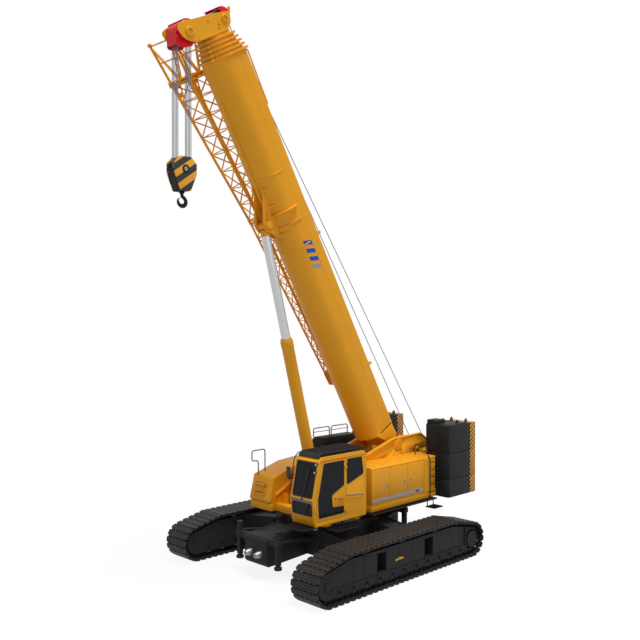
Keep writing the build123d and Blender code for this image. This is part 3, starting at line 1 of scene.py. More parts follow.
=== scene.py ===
# %% [markdown]
# # A telescopic boom crawler crane The machine is a real one's frame of steel boxes on two tracks. The frame
# is loaded first, and every piece below is placed from its boxes and joints, in metres, with +X to the front,
# +Y to the cab side and +Z up.

import json
from math import acos, atan2, cos, degrees, hypot, pi, radians, sin, tan

import bmesh
import bpy
from mathutils import Matrix, Vector


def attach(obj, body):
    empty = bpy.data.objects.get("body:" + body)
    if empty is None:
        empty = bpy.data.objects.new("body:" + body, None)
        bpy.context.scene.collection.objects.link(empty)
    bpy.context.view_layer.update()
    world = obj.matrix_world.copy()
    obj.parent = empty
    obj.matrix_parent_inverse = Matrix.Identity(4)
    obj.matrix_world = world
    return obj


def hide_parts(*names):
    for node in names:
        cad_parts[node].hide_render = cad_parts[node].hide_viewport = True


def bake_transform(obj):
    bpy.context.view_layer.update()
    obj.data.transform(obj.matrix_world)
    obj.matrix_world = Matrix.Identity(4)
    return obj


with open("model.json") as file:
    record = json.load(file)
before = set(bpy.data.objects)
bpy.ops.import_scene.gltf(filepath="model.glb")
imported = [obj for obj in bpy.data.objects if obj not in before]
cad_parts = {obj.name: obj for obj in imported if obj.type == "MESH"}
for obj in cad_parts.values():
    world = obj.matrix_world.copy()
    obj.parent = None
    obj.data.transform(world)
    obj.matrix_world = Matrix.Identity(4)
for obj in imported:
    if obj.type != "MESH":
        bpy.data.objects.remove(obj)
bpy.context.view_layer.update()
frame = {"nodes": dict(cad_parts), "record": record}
joints = {joint["name"]: joint for joint in frame["record"]["behaviour"]["joints"]}

# %% [markdown]
# The boom leans, so its pieces are drawn in its own directions: along it from its pivot, above its centre
# line, and across it. The pivot and the direction of the telescope come from the joints. The machine's own
# axes get names too.

# %% Directions of the boom
PIVOT = Vector(joints["luff"]["pos_m"])
ALONG = Vector(joints["telescope_2"]["axis"]).normalized()
ABOVE = Vector((-ALONG.z, 0, ALONG.x))
CENTRE_DROP = 0.263
HUB = Vector(joints["hook_swing"]["pos_m"])
ORIGIN, FORWARD, LEFT, UP = (0, 0, 0), (1, 0, 0), (0, 1, 0), (0, 0, 1)


def boom(along, above, across=0.0):
    """A place on the boom."""
    return PIVOT + ALONG * along + ABOVE * (above - CENTRE_DROP) + Vector((0, across, 0))


def upright(x, z, across=0.0):
    """A place in a side view of the machine."""
    return Vector((x, across, z))


def level(x, y, height=0.0):
    """A place in a plan of the machine."""
    return Vector((x, y, height))


def frontal(y, z, forward=0.0):
    """A place in a front view of the machine."""
    return Vector((forward, y, z))


print("boom at", round(atan2(ALONG.z, ALONG.x) * 180 / pi, 2), "degrees")

# %% [markdown]
# Steelwork is cut plate, rolled bar, bent tube and turned parts, so a few workshop moves make nearly all of
# it. `plate` shapes a filled ring of corners and extrudes it, as a cutting table does. `turned` spins a
# profile, as a lathe does. `tube` sweeps a round section along rounded corners, as a bender does. Edges are
# then broken with a small bevel, because an edge that catches light reads as metal with a thickness.

# %% Edges, turns and corners
def soften(piece, width, steps=2, angle=35):
    """Break the sharp edges with a bevel, and shade the rest smooth."""
    if width:
        bevel = piece.modifiers.new("edges", "BEVEL")
        bevel.width, bevel.segments, bevel.limit_method = width, steps, "ANGLE"
        bevel.angle_limit, bevel.use_clamp_overlap = radians(angle), True
        bpy.ops.object.modifier_apply(modifier=bevel.name)
    bpy.ops.object.shade_smooth_by_angle(angle=radians(angle))
    return piece


def only(piece):
    """Select one piece alone, and make it the active one."""
    bpy.ops.object.select_all(action="DESELECT")
    piece.select_set(True)
    bpy.context.view_layer.objects.active = piece


def facing(axis):
    """The turn that takes a piece from upright to an axis."""
    return Vector(axis).to_track_quat("Z", "Y").to_matrix().to_4x4()


def both_ways(half):
    """A profile that is the same above and below its middle, from its lower half."""
    return half + [(a, -b) for a, b in reversed(half)]


def oblong(a, b, c, d):
    """The four corners between (a, b) and (c, d)."""
    return [(a, b), (c, b), (c, d), (a, d)]


# %% Boxes and plates
def block(corner, opposite, edge=0.006, steps=2):
    """A box of steel between two opposite corners, with broken edges."""
    low = Vector([min(pair) for pair in zip(corner, opposite)])
    high = Vector([max(pair) for pair in zip(corner, opposite)])
    bpy.ops.mesh.primitive_cube_add(size=1, location=(low + high) / 2)
    piece = bpy.context.object
    piece.scale = high - low
    bpy.ops.object.transform_apply(location=True, rotation=True, scale=True)
    return soften(piece, edge, steps)


def plate(corners, place, near, far, edge=0.004, steps=1, angle=35):
    """A plate cut to corners in a view, from one depth to another."""
    bpy.ops.mesh.primitive_circle_add(vertices=len(corners), radius=1, fill_type="NGON")
    piece = bpy.context.object
    for vertex, (a, b) in zip(piece.data.vertices, corners):
        vertex.co = place(a, b, near)
    shift = place(0, 0, far) - place(0, 0, near)
    bpy.ops.object.mode_set(mode="EDIT")
    bpy.ops.mesh.select_all(action="SELECT")
    bpy.ops.mesh.extrude_region_move(TRANSFORM_OT_translate={"value": shift})
    bpy.ops.mesh.select_all(action="SELECT")
    bpy.ops.mesh.normals_make_consistent(inside=False)
    bpy.ops.object.mode_set(mode="OBJECT")
    return soften(piece, edge, steps, angle)


# %% Turned pieces and bent tubes
def turned(profile, centre, axis, steps=32, edge=0.0, angle=35):
    """A lathe piece: corners of (radius, along the axis) spun about the axis through a centre."""
    bpy.ops.mesh.primitive_circle_add(vertices=len(profile), radius=1, fill_type="NOTHING")
    piece = bpy.context.object
    for vertex, (radius, along) in zip(piece.data.vertices, profile):
        vertex.co = (radius, 0, along)
    bpy.ops.object.mode_set(mode="EDIT")
    bpy.ops.mesh.select_all(action="SELECT")
    bpy.ops.mesh.spin(steps=steps, angle=2 * pi, center=(0, 0, 0), axis=(0, 0, 1))
    bpy.ops.mesh.select_all(action="SELECT")
    bpy.ops.mesh.remove_doubles(threshold=0.00005)
    bpy.ops.mesh.normals_make_consistent(inside=False)
    bpy.ops.object.mode_set(mode="OBJECT")
    piece.data.transform(Matrix.Translation(centre) @ facing(axis))
    return soften(piece, edge, 1, angle)


def drum(radius, low, high, centre, axis, steps=32, edge=0.004):
    """A plain round piece with chamfered rims."""
    rim = min(edge, radius / 3, (high - low) / 3)
    return turned([(0, low), (radius - rim, low), (radius, low + rim), (radius, high - rim),
                   (radius - rim, high), (0, high)], centre, axis, steps)


def tube(points, radius, bend=0.06, sides=8, closed=False):
    """A round bar or tube that follows points, with its corners bent to a radius."""
    curve = bpy.data.curves.new("tube", "CURVE")
    curve.dimensions = "3D"
    route = [Vector(point) for point in points]
    smooth = []
    count = len(route)
    for i, corner in enumerate(route):
        if not closed and i in (0, count - 1):
            smooth.append(corner)
            continue
        back, ahead = route[i - 1] - corner, route[(i + 1) % count] - corner
        turn = pi - back.angle(ahead)
        if turn < 0.02:
            smooth.append(corner)
            continue
        reach = min(bend * tan(turn / 2), back.length * 0.48, ahead.length * 0.48)
        start, end = corner + back.normalized() * reach, corner + ahead.normalized() * reach
        for k in range(5):
            t = k / 4
            smooth.append(start.lerp(corner, t).lerp(corner.lerp(end, t), t))
    spline = curve.splines.new("POLY")
    spline.points.add(len(smooth) - 1)
    for point, place in zip(spline.points, smooth):
        point.co = (*place, 1)
    spline.use_cyclic_u = closed
    curve.bevel_depth, curve.use_fill_caps = radius, not closed
    curve.bevel_resolution = max(0, sides // 4 - 1)
    piece = bpy.data.objects.new("tube", curve)
    bpy.context.collection.objects.link(piece)
    only(piece)
    bpy.ops.object.convert(target="MESH")
    return soften(bpy.context.object, 0, angle=50)


# %% Joining, copying and cutting
def joined(pieces):
    """Make one object of several."""
    pieces = [piece for piece in pieces if piece]
    bpy.ops.object.select_all(action="DESELECT")
    for piece in pieces:
        piece.select_set(True)
    bpy.context.view_layer.objects.active = pieces[0]
    if len(pieces) > 1:
        bpy.ops.object.join()
    return bpy.context.object


def copies(model, places, keep=False):
    """Stamp one model at every place, as one mesh, and remove the model unless it is still needed."""
    mesh = bmesh.new()
    for place in places:
        if isinstance(place, Vector):
            place = Matrix.Translation(place)
        stamp = model.data.copy()
        stamp.transform(place)
        if place.determinant() < 0:
            stamp.flip_normals()
        mesh.from_mesh(stamp)
        bpy.data.meshes.remove(stamp)
    made = bpy.data.meshes.new("copies")
    mesh.to_mesh(made)
    mesh.free()
    for material in model.data.materials:
        made.materials.append(material)
    piece = bpy.data.objects.new("copies", made)
    bpy.context.collection.objects.link(piece)
    if not keep:
        bpy.data.objects.remove(model)
    only(piece)
    return piece


def cut(piece, tool):
    """Cut a tool's shape out of a piece."""
    only(piece)
    work = piece.modifiers.new("cut", "BOOLEAN")
    work.operation, work.object, work.solver = "DIFFERENCE", tool, "EXACT"
    bpy.ops.object.modifier_apply(modifier=work.name)
    bpy.data.objects.remove(tool)
    return piece


def rounded(corners, radius, steps=4):
    """Round the corners of a cut plate."""
    made = []
    count = len(corners)
    for i, corner in enumerate(corners):
        corner = Vector(corner)
        back, ahead = Vector(corners[i - 1]) - corner, Vector(corners[(i + 1) % count]) - corner
        turn = pi - back.angle(ahead)
        reach = min(radius * tan(turn / 2), back.length * 0.45, ahead.length * 0.45)
        start, end = corner + back.normalized() * reach, corner + ahead.normalized() * reach
        if turn < 0.25:
            made.append(tuple(corner))
            continue
        for k in range(steps + 1):
            t = k / steps
            made.append(tuple(start.lerp(corner, t).lerp(corner.lerp(end, t), t)))
    return made


def hole(piece, radius, along, above, low=-2, high=2):
    """Drill a hole across the boom."""
    return cut(piece, drum(radius, low, high, boom(along, above), LEFT, steps=28, edge=0))


# %% Naming and dressing
UPPER, TRACKS = "superstructure", "undercarriage"
SLOTS = {"polyurethane_enamel_amber": "yellow_paint", "polyurethane_enamel_charcoal": "dark_paint",
         "machined_steel": "dark_paint", "galvanised_rail_grey": "dark_paint",
         "moulded_black_plastic": "cab_trim", "nitrile_rubber": "cab_trim",
         "tinted_safety_glass": "tinted_glass", "drawn_steel_rope": "wire_rope"}


def dress(name, piece, material, body, *stands_for, slot=None):
    """Name a piece, paint it and hang it on its body. A slot is worked out from its material, unless one is
    given, but the piece does not keep it.
    """
    piece.name = piece.data.name = name
    piece.data.materials.clear()
    piece.data.materials.append(material)
    slot = slot or SLOTS[material.name]
    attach(piece, body)
    if stands_for:
        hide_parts(*stands_for)
    print(name, len(piece.data.polygons), "faces")
    return piece


# %% [markdown]
# A material starts from what the real finish is. One function adds a node with its settings and links, and
# one turns a colour written as on a paint card into the linear values that the shader takes.

# %% Colour and node helpers
def linear(hex_colour):
    """The linear colour of an sRGB hex value."""
    values = [int(hex_colour[i:i + 2], 16) / 255 for i in (0, 2, 4)]
    return (*[v / 12.92 if v <= 0.04045 else ((v + 0.055) / 1.055) ** 2.4 for v in values], 1)


def add(tree, kind, settings=None, **links):
    """Add a node, set its values and join its inputs, given by name with _ for a space."""
    node = tree.nodes.new("ShaderNode" + kind)
    for key, value in (settings or {}).items():
        if isinstance(key, int) or key in node.inputs:
            node.inputs[key].default_value = value
        else:
            setattr(node, key, value)
    for key, value in links.items():
        name = int(key[1:]) if key[1:].isdigit() else key.replace("_", " ")
        tree.links.new(value, node.inputs[name])
    return node


def new_material(name):
    """An empty node tree with a shader on its output, for one finish."""
    material = bpy.data.materials.new(name)
    material.use_nodes = True
    tree = material.node_tree
    tree.nodes.clear()
    shader = add(tree, "BsdfPrincipled")
    add(tree, "OutputMaterial", Surface=shader.outputs["BSDF"])
    return material, tree, shader


def ramp(tree, factor, stops):
    """A colour ramp with stops of (place, colour)."""
    node = add(tree, "ValToRGB", Fac=factor)
    while len(node.color_ramp.elements) < len(stops):
        node.color_ramp.elements.new(0.5)
    for element, (place, colour) in zip(node.color_ramp.elements, stops):
        element.position, element.color = place, colour
    return node.outputs["Color"]


# %% [markdown]
# The machine wears two-pack polyurethane enamel: a thin, hard, slightly wavy skin over welded plate. Its
# orange peel is about 3 mm across and far too fine to show, so it is drawn at 60 mm, as the waviness of the
# plate under it. Dust dulls the upper faces a little. The dark steel is the same enamel, flatter.

# %% Enamel
def enamel(name, hex_colour, roughness, dust=0.25, coat=0.05, wave=0.06, bump=0.05, gloss=0.25):
    """Polyurethane enamel on plate, with a little dust and a wavy skin."""
    material, tree, shader = new_material(name)
    place = add(tree, "TexCoord").outputs["Object"]
    cloud = add(tree, "TexNoise", {"Scale": 0.9, "Detail": 5.0}, Vector=place)
    grime = add(tree, "TexNoise", {"Scale": 7.0, "Detail": 6.0, "Roughness": 0.65}, Vector=place)
    colour = linear(hex_colour)
    dull = (*[c * 0.82 + 0.012 for c in colour[:3]], 1)
    tint = ramp(tree, cloud.outputs["Fac"], [(0.35, colour), (0.75, (*[c * 0.93 for c in colour[:3]], 1))])
    spots = ramp(tree, grime.outputs["Fac"], [(0.52, (0, 0, 0, 1)), (0.78, (dust, dust, dust, 1))])
    paint = add(tree, "Mix", {"data_type": "RGBA", 7: dull}, _0=spots, _6=tint)
    tree.links.new(paint.outputs[2], shader.inputs["Base Color"])
    rough = add(tree, "MapRange", {"To Min": roughness, "To Max": min(1, roughness + 0.22)},
                Value=grime.outputs["Fac"])
    tree.links.new(rough.outputs["Result"], shader.inputs["Roughness"])
    skin = add(tree, "TexNoise", {"Scale": 1 / wave, "Detail": 2.0}, Vector=place)
    relief = add(tree, "Bump", {"Strength": bump, "Distance": 0.002}, Height=skin.outputs["Fac"])
    tree.links.new(relief.outputs["Normal"], shader.inputs["Normal"])
    shader.inputs["IOR"].default_value = 1.5
    shader.inputs["Specular IOR Level"].default_value = gloss
    shader.inputs["Coat Weight"].default_value = coat
    shader.inputs["Coat Roughness"].default_value = 0.12
    return material


AMBER = "EEA419"
yellow = enamel("polyurethane_enamel_amber", AMBER, 0.36)
charcoal = enamel("polyurethane_enamel_charcoal", "2B2B2B", 0.5, dust=0.3, coat=0.0, gloss=0.12)
red = enamel("polyurethane_enamel_red", "E8182A", 0.36, dust=0.15)
blue = enamel("vinyl_stripe_blue", "0E56B8", 0.4, dust=0.1, coat=0.0)
grey = enamel("vinyl_stripe_grey", "9C9C9A", 0.45, dust=0.1, coat=0.0)
silver = enamel("galvanised_rail_grey", "74746F", 0.42, dust=0.2, coat=0.0)

# %% [markdown]
# Track shoes are cast manganese steel, left nearly bare: dark, grainy, and polished only where they meet the
# ground.

# %% Cast steel
def cast_steel(name, hex_colour, roughness, grain):
    """Sand-cast steel with a grain, and a painted reflection of the yellow body: faint brown in random
    patches.
    """
    material, tree, shader = new_material(name)
    place = add(tree, "TexCoord").outputs["Object"]
    sand = add(tree, "TexNoise", {"Scale": 1 / grain, "Detail": 6.0, "Roughness": 0.7}, Vector=place)
    reflection_patches = add(tree, "TexNoise", {"Scale": 3.0, "Detail": 4.0}, Vector=place)
    base = linear(hex_colour)
    # The brown is a painted reflection of the yellow body on the dark steel, laid in random patches.
    painted_reflection_brown = linear("3A2D20")
    colour = ramp(tree, reflection_patches.outputs["Fac"], [(0.45, base), (0.8, painted_reflection_brown)])
    tree.links.new(colour, shader.inputs["Base Color"])
    relief = add(tree, "Bump", {"Strength": 0.35, "Distance": 0.004}, Height=sand.outputs["Fac"])
    tree.links.new(relief.outputs["Normal"], shader.inputs["Normal"])
    rough = add(tree, "MapRange", {"To Min": roughness, "To Max": roughness + 0.25},
                Value=sand.outputs["Fac"])
    tree.links.new(rough.outputs["Result"], shader.inputs["Roughness"])
    shader.inputs["Metallic"].default_value = 0.2
    shader.inputs["Specular IOR Level"].default_value = 0.2
    return material


shoe_steel = cast_steel("manganese_cast_steel", "2B2B2C", 0.42, 0.02)

# %% [markdown]
# The rod is hard chrome, ground and polished: a metal with a soft brush round it. Cab windows are tinted
# safety glass: dark from outside, with a faint reflection. Ropes are drawn steel wire, greased.

# %% Chrome, glass, rope and rubber
def plain(name, hex_colour, roughness, metallic=0.0, grain=0.03, bump=0.1, **sockets):
    """A finish with a fine grain, and whatever sockets it needs besides."""
    material, tree, shader = new_material(name)
    place = add(tree, "TexCoord").outputs["Object"]
    fine = add(tree, "TexNoise", {"Scale": 1 / grain, "Detail": 4.0}, Vector=place)
    base = linear(hex_colour)
    colour = ramp(tree, fine.outputs["Fac"], [(0.3, base), (0.8, (*[c * 0.85 for c in base[:3]], 1))])
    tree.links.new(colour, shader.inputs["Base Color"])
    relief = add(tree, "Bump", {"Strength": bump, "Distance": 0.001}, Height=fine.outputs["Fac"])
    tree.links.new(relief.outputs["Normal"], shader.inputs["Normal"])
    rough = add(tree, "MapRange", {"To Min": roughness, "To Max": roughness + 0.1}, Value=fine.outputs["Fac"])
    tree.links.new(rough.outputs["Result"], shader.inputs["Roughness"])
    shader.inputs["Metallic"].default_value = metallic
    for key, value in sockets.items():
        shader.inputs[key.replace("_", " ")].default_value = value
    return material


chrome = plain("hard_chrome", "C9CACB", 0.2, metallic=0.75, bump=0.03)
bare_steel = plain("machined_steel", "8E9092", 0.32, metallic=0.9)
wire_rope = plain("drawn_steel_rope", "8A8F98", 0.6, metallic=0.2, grain=0.012, bump=0.0)
glass = plain("tinted_safety_glass", "15171B", 0.08, bump=0.0, Specular_IOR_Level=0.12, IOR=1.52)
rubber = plain("nitrile_rubber", "121212", 0.7, grain=0.01)
trim = plain("moulded_black_plastic", "1B1B1C", 0.55, grain=0.008)
cloth = plain("woven_seat_cloth", "1E1F22", 0.9, grain=0.004, bump=0.6, Sheen_Weight=0.3)
lamp_glass = plain("pressed_lamp_glass", "D6D8DA", 0.1, grain=0.02, bump=0.4, Coat_Weight=0.4)


# %% Hazard stripes
def hazard(name, across, pitch, light=AMBER, dark="161616"):
    """Slanted warning stripes: across is the direction that the stripes repeat in, pitch one pair's width."""
    material, tree, shader = new_material(name)
    place = add(tree, "TexCoord").outputs["Object"]
    run = add(tree, "VectorMath", {"operation": "DOT_PRODUCT",
                                   1: Vector(across).normalized() / pitch}, _0=place)
    share = add(tree, "Math", {"operation": "FRACT"}, _0=run.outputs["Value"])
    side = add(tree, "Math", {"operation": "GREATER_THAN", 1: 0.5}, _0=share.outputs[0])
    paint = add(tree, "Mix", {"data_type": "RGBA", 6: linear(light), 7: linear(dark)}, _0=side.outputs[0])
    tree.links.new(paint.outputs[2], shader.inputs["Base Color"])
    worn = add(tree, "TexNoise", {"Scale": 12.0, "Detail": 4.0}, Vector=place)
    rough = add(tree, "MapRange", {"To Min": 0.35, "To Max": 0.6}, Value=worn.outputs["Fac"])
    tree.links.new(rough.outputs["Result"], shader.inputs["Roughness"])
    return material


hook_stripes = hazard("hazard_paint_hook", (0.7, 0, 1.0), 0.3)
rear_stripes = hazard("hazard_paint_rear", (0.8, 0.8, 1.0), 0.085)

# %% [markdown]
# The CAD solids that stay as they are take their finish on their own slots.

# %% Paint the frame's own solids
def paint_nodes(material, *names):
    """Give CAD nodes a finish."""
    for name in names:
        mesh = frame["nodes"][name].data
        mesh.materials.clear()
        mesh.materials.append(material)


for slot_name, material in (("yellow_paint", yellow), ("dark_paint", charcoal), ("track_steel", shoe_steel),
                            ("red_paint", red), ("rod_chrome", chrome), ("tinted_glass", glass),
                            ("wire_rope", wire_rope), ("cab_trim", trim), ("seat_fabric", cloth)):
    nodes = [part["node"] for part in frame["record"]["subparts"] if part["material_slot"] == slot_name]
    paint_nodes(material, *nodes)

# %% [markdown]
# A crawler's track is a closed belt of cast shoes. Each shoe has a flat pad with chamfered ends, fingers that
# hinge between its neighbour's, two rows of cored holes that save weight, and two rails inside that the
# rollers run on. One shoe is modelled, and then stamped along the belt's real path: flat on the ground, round
# the idler, over the carrier rollers and round the sprocket.

# %% The path of the belt
TRACK_Y, SHOE_WIDTH = 2.595, 0.9
END_X, END_R, TOP, TOP_HALF = 2.92, 0.49, 1.16, 2.15
SLOPE = END_X - TOP_HALF
touch = atan2(TOP - END_R, -SLOPE) - acos(END_R / hypot(SLOPE, TOP - END_R))
touch_x, touch_z = END_X + END_R * cos(touch), END_R + END_R * sin(touch)
ARC = touch + pi / 2
RAMP = hypot(touch_x - TOP_HALF, TOP - touch_z)
stretches = (2 * END_X, END_R * ARC, RAMP, 2 * TOP_HALF, RAMP, END_R * ARC)
BELT = sum(stretches)
SHOES = 72
PITCH = BELT / SHOES


def belt(distance, inset=0.0):
    """A point of the belt and the angle of its outward normal, at a distance along the outside."""
    distance %= BELT
    for index, stretch in enumerate(stretches):
        if distance <= stretch:
            break
        distance -= stretch
    if index in (1, 5):
        centre, start = (END_X, -pi / 2) if index == 1 else (-END_X, 3 * pi / 2 - ARC)
        angle = start + distance / END_R
        x, z = centre + END_R * cos(angle), END_R + END_R * sin(angle)
    elif index in (0, 3):
        angle = -pi / 2 if index == 0 else pi / 2
        x, z = (-END_X + distance, 0.0) if index == 0 else (TOP_HALF - distance, TOP)
    else:
        angle = touch if index == 2 else pi - touch
        start = (touch_x, touch_z) if index == 2 else (-TOP_HALF, TOP)
        x, z = start[0] - sin(angle) * distance, start[1] + cos(angle) * distance
    return x - cos(angle) * inset, z - sin(angle) * inset, angle


print("belt", round(BELT, 3), "m, pitch", round(PITCH, 4), "m")

# %% One shoe
def shoe_outline():
    """The pad from above: chamfered ends and interlocking fingers along both hinge sides."""
    half, root, tip = PITCH / 2, PITCH / 2 - 0.022, PITCH / 2 + 0.006
    end = SHOE_WIDTH / 2
    fingers = [-0.36, -0.26, -0.2, -0.1, -0.04, 0.06, 0.12, 0.22, 0.28, 0.36]
    front = [(root - 0.03, -end), (root, -end + 0.03)]
    for i in range(0, len(fingers), 2):
        low, high = fingers[i], fingers[i + 1]
        front += [(root, low), (tip, low + 0.006), (tip, high - 0.006), (root, high)]
    front += [(root, end - 0.03), (root - 0.03, end)]
    rear = [(-root + 0.03, end), (-root, end - 0.03)]
    rear += [(-root, -end + 0.03), (-root + 0.03, -end)]
    return front + rear


pad = plate(shoe_outline(), level, -0.048, -0.001, edge=0.004)
for y in (-0.36, -0.27, -0.18, -0.09, 0.0, 0.09, 0.18, 0.27, 0.36):
    for x in (-0.038, 0.038):
        if abs(y) > 0.04 or x > 0:
            bpy.ops.mesh.primitive_cylinder_add(vertices=6, radius=0.017, depth=0.2, location=(x, y, 0))
            pad = cut(pad, bpy.context.object)
rails = [plate([(-0.095, -0.128), (-0.06, -0.128), (0.06, -0.128), (0.095, -0.128), (0.075, -0.046),
                (-0.075, -0.046)], upright, y - 0.035, y + 0.035, edge=0.004) for y in (-0.205, 0.205)]
skirts = [block((-0.055, y - 0.012, -0.085), (0.055, y + 0.012, -0.046), edge=0.003, steps=1)
          for y in (-0.4, 0.4)]
pin = drum(0.02, -0.43, 0.43, (PITCH / 2, 0, -0.06), LEFT, steps=8, edge=0.003)
shoe = joined([pad, *rails, *skirts, pin])
print("one shoe", len(shoe.data.polygons), "faces")

# %% Two belts of shoes
for name, side in (("left", 1), ("right", -1)):
    places = []
    for i in range(SHOES):
        x, z, angle = belt((i + 0.5) * PITCH)
        turn = Matrix.Rotation(pi / 2 - angle, 4, "Y")
        places.append(Matrix.Translation((x, side * TRACK_Y, z)) @ turn)
    dress(f"track_shoes_{name}", copies(shoe, places, keep=True), shoe_steel, TRACKS, f"track_{name}",
          slot="track_steel")
bpy.data.objects.remove(shoe)

# %% [markdown]
# Between the runs stands the track frame: a box beam with a plated side, two deep pockets, a ledge along its
# foot and a bracket over each roller. Its side is one cut plate, so the pockets are cut from it and then
# lined.

# %% Track frames
def belt_outline(inset, steps=10):
    """The belt's outline moved inwards, as corners."""
    marks = [0, stretches[0]]
    run = stretches[0]
    marks += [run + stretches[1] * k / steps for k in range(1, steps + 1)]
    run += stretches[1] + stretches[2]
    marks += [run, run + stretches[3]]
    run += stretches[3] + stretches[4]
    marks += [run + stretches[5] * k / steps for k in range(0, steps)]
    return [belt(mark + 0.0001, inset)[:2] for mark in marks]


FRAME_HALF = 0.33
POCKETS = (0.975, -0.96)
side_corners = belt_outline(0.172)
for name, side in (("left", 1), ("right", -1)):
    outer, inner = side * TRACK_Y + side * FRAME_HALF, side * TRACK_Y - side * FRAME_HALF
    skin = plate(side_corners, upright, outer, outer - side * 0.026, edge=0)
    for x in POCKETS:
        bpy.ops.mesh.primitive_cube_add(size=1, location=(x, outer, 0.66))
        tool = bpy.context.object
        tool.scale = (0.36, 0.3, 0.5)
        skin = cut(skin, tool)
    # round hollow for the final drive
    bpy.ops.mesh.primitive_cylinder_add(vertices=40, radius=0.268, depth=0.3,
                                        location=(-END_X, outer, END_R), rotation=(pi / 2, 0, 0))
    skin = soften(cut(skin, bpy.context.object), 0.003, 1)
    far = plate(side_corners, upright, inner, inner + side * 0.026, edge=0.003)
    parts = [skin, far]
    # linings of the pockets
    for x in POCKETS:
        for wall in (-0.19, 0.19):
            parts.append(block((x + wall - 0.01, outer - side * 0.01, 0.4),
                               (x + wall + 0.01, outer - side * 0.3, 0.92), 0.002, 1))
        for z in (0.4, 0.91):
            parts.append(block((x - 0.2, outer - side * 0.012, z - 0.012),
                               (x + 0.2, outer - side * 0.3, z + 0.012), 0.002, 1))
        parts.append(block((x - 0.2, outer - side * 0.28, 0.4),
                           (x + 0.2, outer - side * 0.3, 0.92), 0.002, 1))
        # lip step at a pocket's foot
        parts.append(plate([(x - 0.2, 0.395), (x + 0.2, 0.395), (x + 0.17, 0.365), (x - 0.17, 0.365)],
                           upright, outer - side * 0.02, outer + side * 0.03, 0.003))
    # beam inside
    parts.append(block((-2.25, inner + side * 0.09, 0.4), (2.25, outer - side * 0.32, 0.8), 0.004, 1))
    # ledge along the foot, seams and the rear mounting of the drive
    parts.append(plate([(-2.72, 0.345), (2.8, 0.345), (2.86, 0.372), (-2.72, 0.372)], upright,
                       outer - side * 0.01, outer + side * 0.05, 0.003))
    for x in (-1.98, -0.3, 0.28, 1.62, 2.02):
        top = 0.985 if abs(x) < 2.0 else 0.93
        parts.append(block((x - 0.006, outer, 0.374), (x + 0.006, outer + side * 0.006, top), 0.001, 1))
    parts.append(block((-2.64, outer - side * 0.01, 0.36), (-2.6, outer + side * 0.045, 0.86), 0.004, 1))
    # ends of the beams that reach out from the car body
    for x in (-0.93, 0.93):
        parts.append(block((x - 0.36, inner, 0.44), (x + 0.36, inner - side * 0.015, 1.02), 0.006, 1))
    dress(f"track_side_frame_{name}", joined(parts), charcoal, TRACKS, f"track_frame_{name}")

# %% Roller brackets under the ledge
ROLLERS = 11
roller_places = [-2.45 + 4.9 * i / (ROLLERS - 1) for i in range(ROLLERS)]
bracket = joined([plate([(-0.085, 0.345), (0.085, 0.345), (0.062, 0.27), (0.035, 0.235), (-0.035, 0.235),
                         (-0.062, 0.27)], upright, 0.0, 0.045, 0.004),
                  drum(0.032, 0.04, 0.058, (0, 0, 0.29), LEFT, steps=10)])
places = []
for side in (-1, 1):
    for x in roller_places:
        for face in (-1, 1):
            y = side * TRACK_Y + face * FRAME_HALF
            turn = Matrix.Identity(4) if face > 0 else Matrix.Scale(-1, 4, LEFT)
            places.append(Matrix.Translation((x, y, 0)) @ turn)
dress("roller_brackets", copies(bracket, places), charcoal, TRACKS)

# %% Rollers, idlers and sprockets
roller = turned(both_ways([(0.045, -0.3), (0.085, -0.3), (0.085, -0.275), (0.118, -0.265), (0.118, -0.235),
                           (0.104, -0.225), (0.104, -0.1), (0.07, -0.085)]), ORIGIN, LEFT, steps=20)
places = []
for side in (-1, 1):
    places += [Vector((x, side * TRACK_Y, 0.2355)) for x in roller_places]
small = [Matrix.Translation((x, side * TRACK_Y, 0.9447)) @ Matrix.Scale(0.81, 4) for x in (-1.4, 0, 1.4)
         for side in (-1, 1)]
dress("track_roller_wheels", copies(roller, [Matrix.Translation(p) for p in places] + small), bare_steel,
      TRACKS, "track_rollers")

idler = turned(both_ways([(0.06, -0.34), (0.075, -0.34), (0.075, -0.17), (0.26, -0.12), (0.3, -0.165),
                          (0.358, -0.165), (0.358, -0.1), (0.335, -0.09)]), ORIGIN, LEFT, steps=44)
caps = [drum(0.11, 0.336, 0.355, ORIGIN, (0, s, 0), steps=24) for s in (-1, 1)]
bolts = copies(drum(0.012, 0, 0.012, (0.085, 0, 0), LEFT, steps=6),
               [Matrix.Translation((0, 0.354, 0)) @ Matrix.Rotation(k * pi / 4, 4, "Y") for k in range(8)])
idler = joined([idler, *caps, bolts])
dress("idler_wheels", copies(idler, [Vector((END_X, s * TRACK_Y, END_R)) for s in (-1, 1)]), charcoal,
      TRACKS, "idlers")

rim = []
for k in range(28):
    low = 2 * pi * k / 28
    for turn, radius in ((0.0, 0.325), (0.045, 0.356), (0.1, 0.356), (0.145, 0.325)):
        rim.append((radius * cos(low + turn), radius * sin(low + turn)))
wheel = plate(rim, upright, -0.06, 0.06, 0.004)
hub = turned([(0.0, -0.335), (0.1, -0.335), (0.1, -0.2), (0.2, -0.1), (0.24, -0.1), (0.24, 0.25),
              (0.225, 0.27), (0.225, 0.352), (0.232, 0.36), (0.232, 0.372), (0.218, 0.388), (0.17, 0.388),
              (0.165, 0.38), (0.0, 0.38)], ORIGIN, LEFT, steps=44)
ring = copies(drum(0.011, 0, 0.012, (0.2, 0, 0), LEFT, steps=6),
              [Matrix.Translation((0, 0.386, 0)) @ Matrix.Rotation(k * pi / 8, 4, "Y") for k in range(16)])
plug = drum(0.03, 0.378, 0.389, ORIGIN, LEFT, steps=12)
drive = joined([wheel, hub, ring, plug])
places = [Matrix.Translation((-END_X, TRACK_Y, END_R)),
          Matrix.Translation((-END_X, -TRACK_Y, END_R)) @ Matrix.Scale(-1, 4, LEFT)]
dress("sprockets_and_drives", copies(drive, places), charcoal, TRACKS, "sprockets")

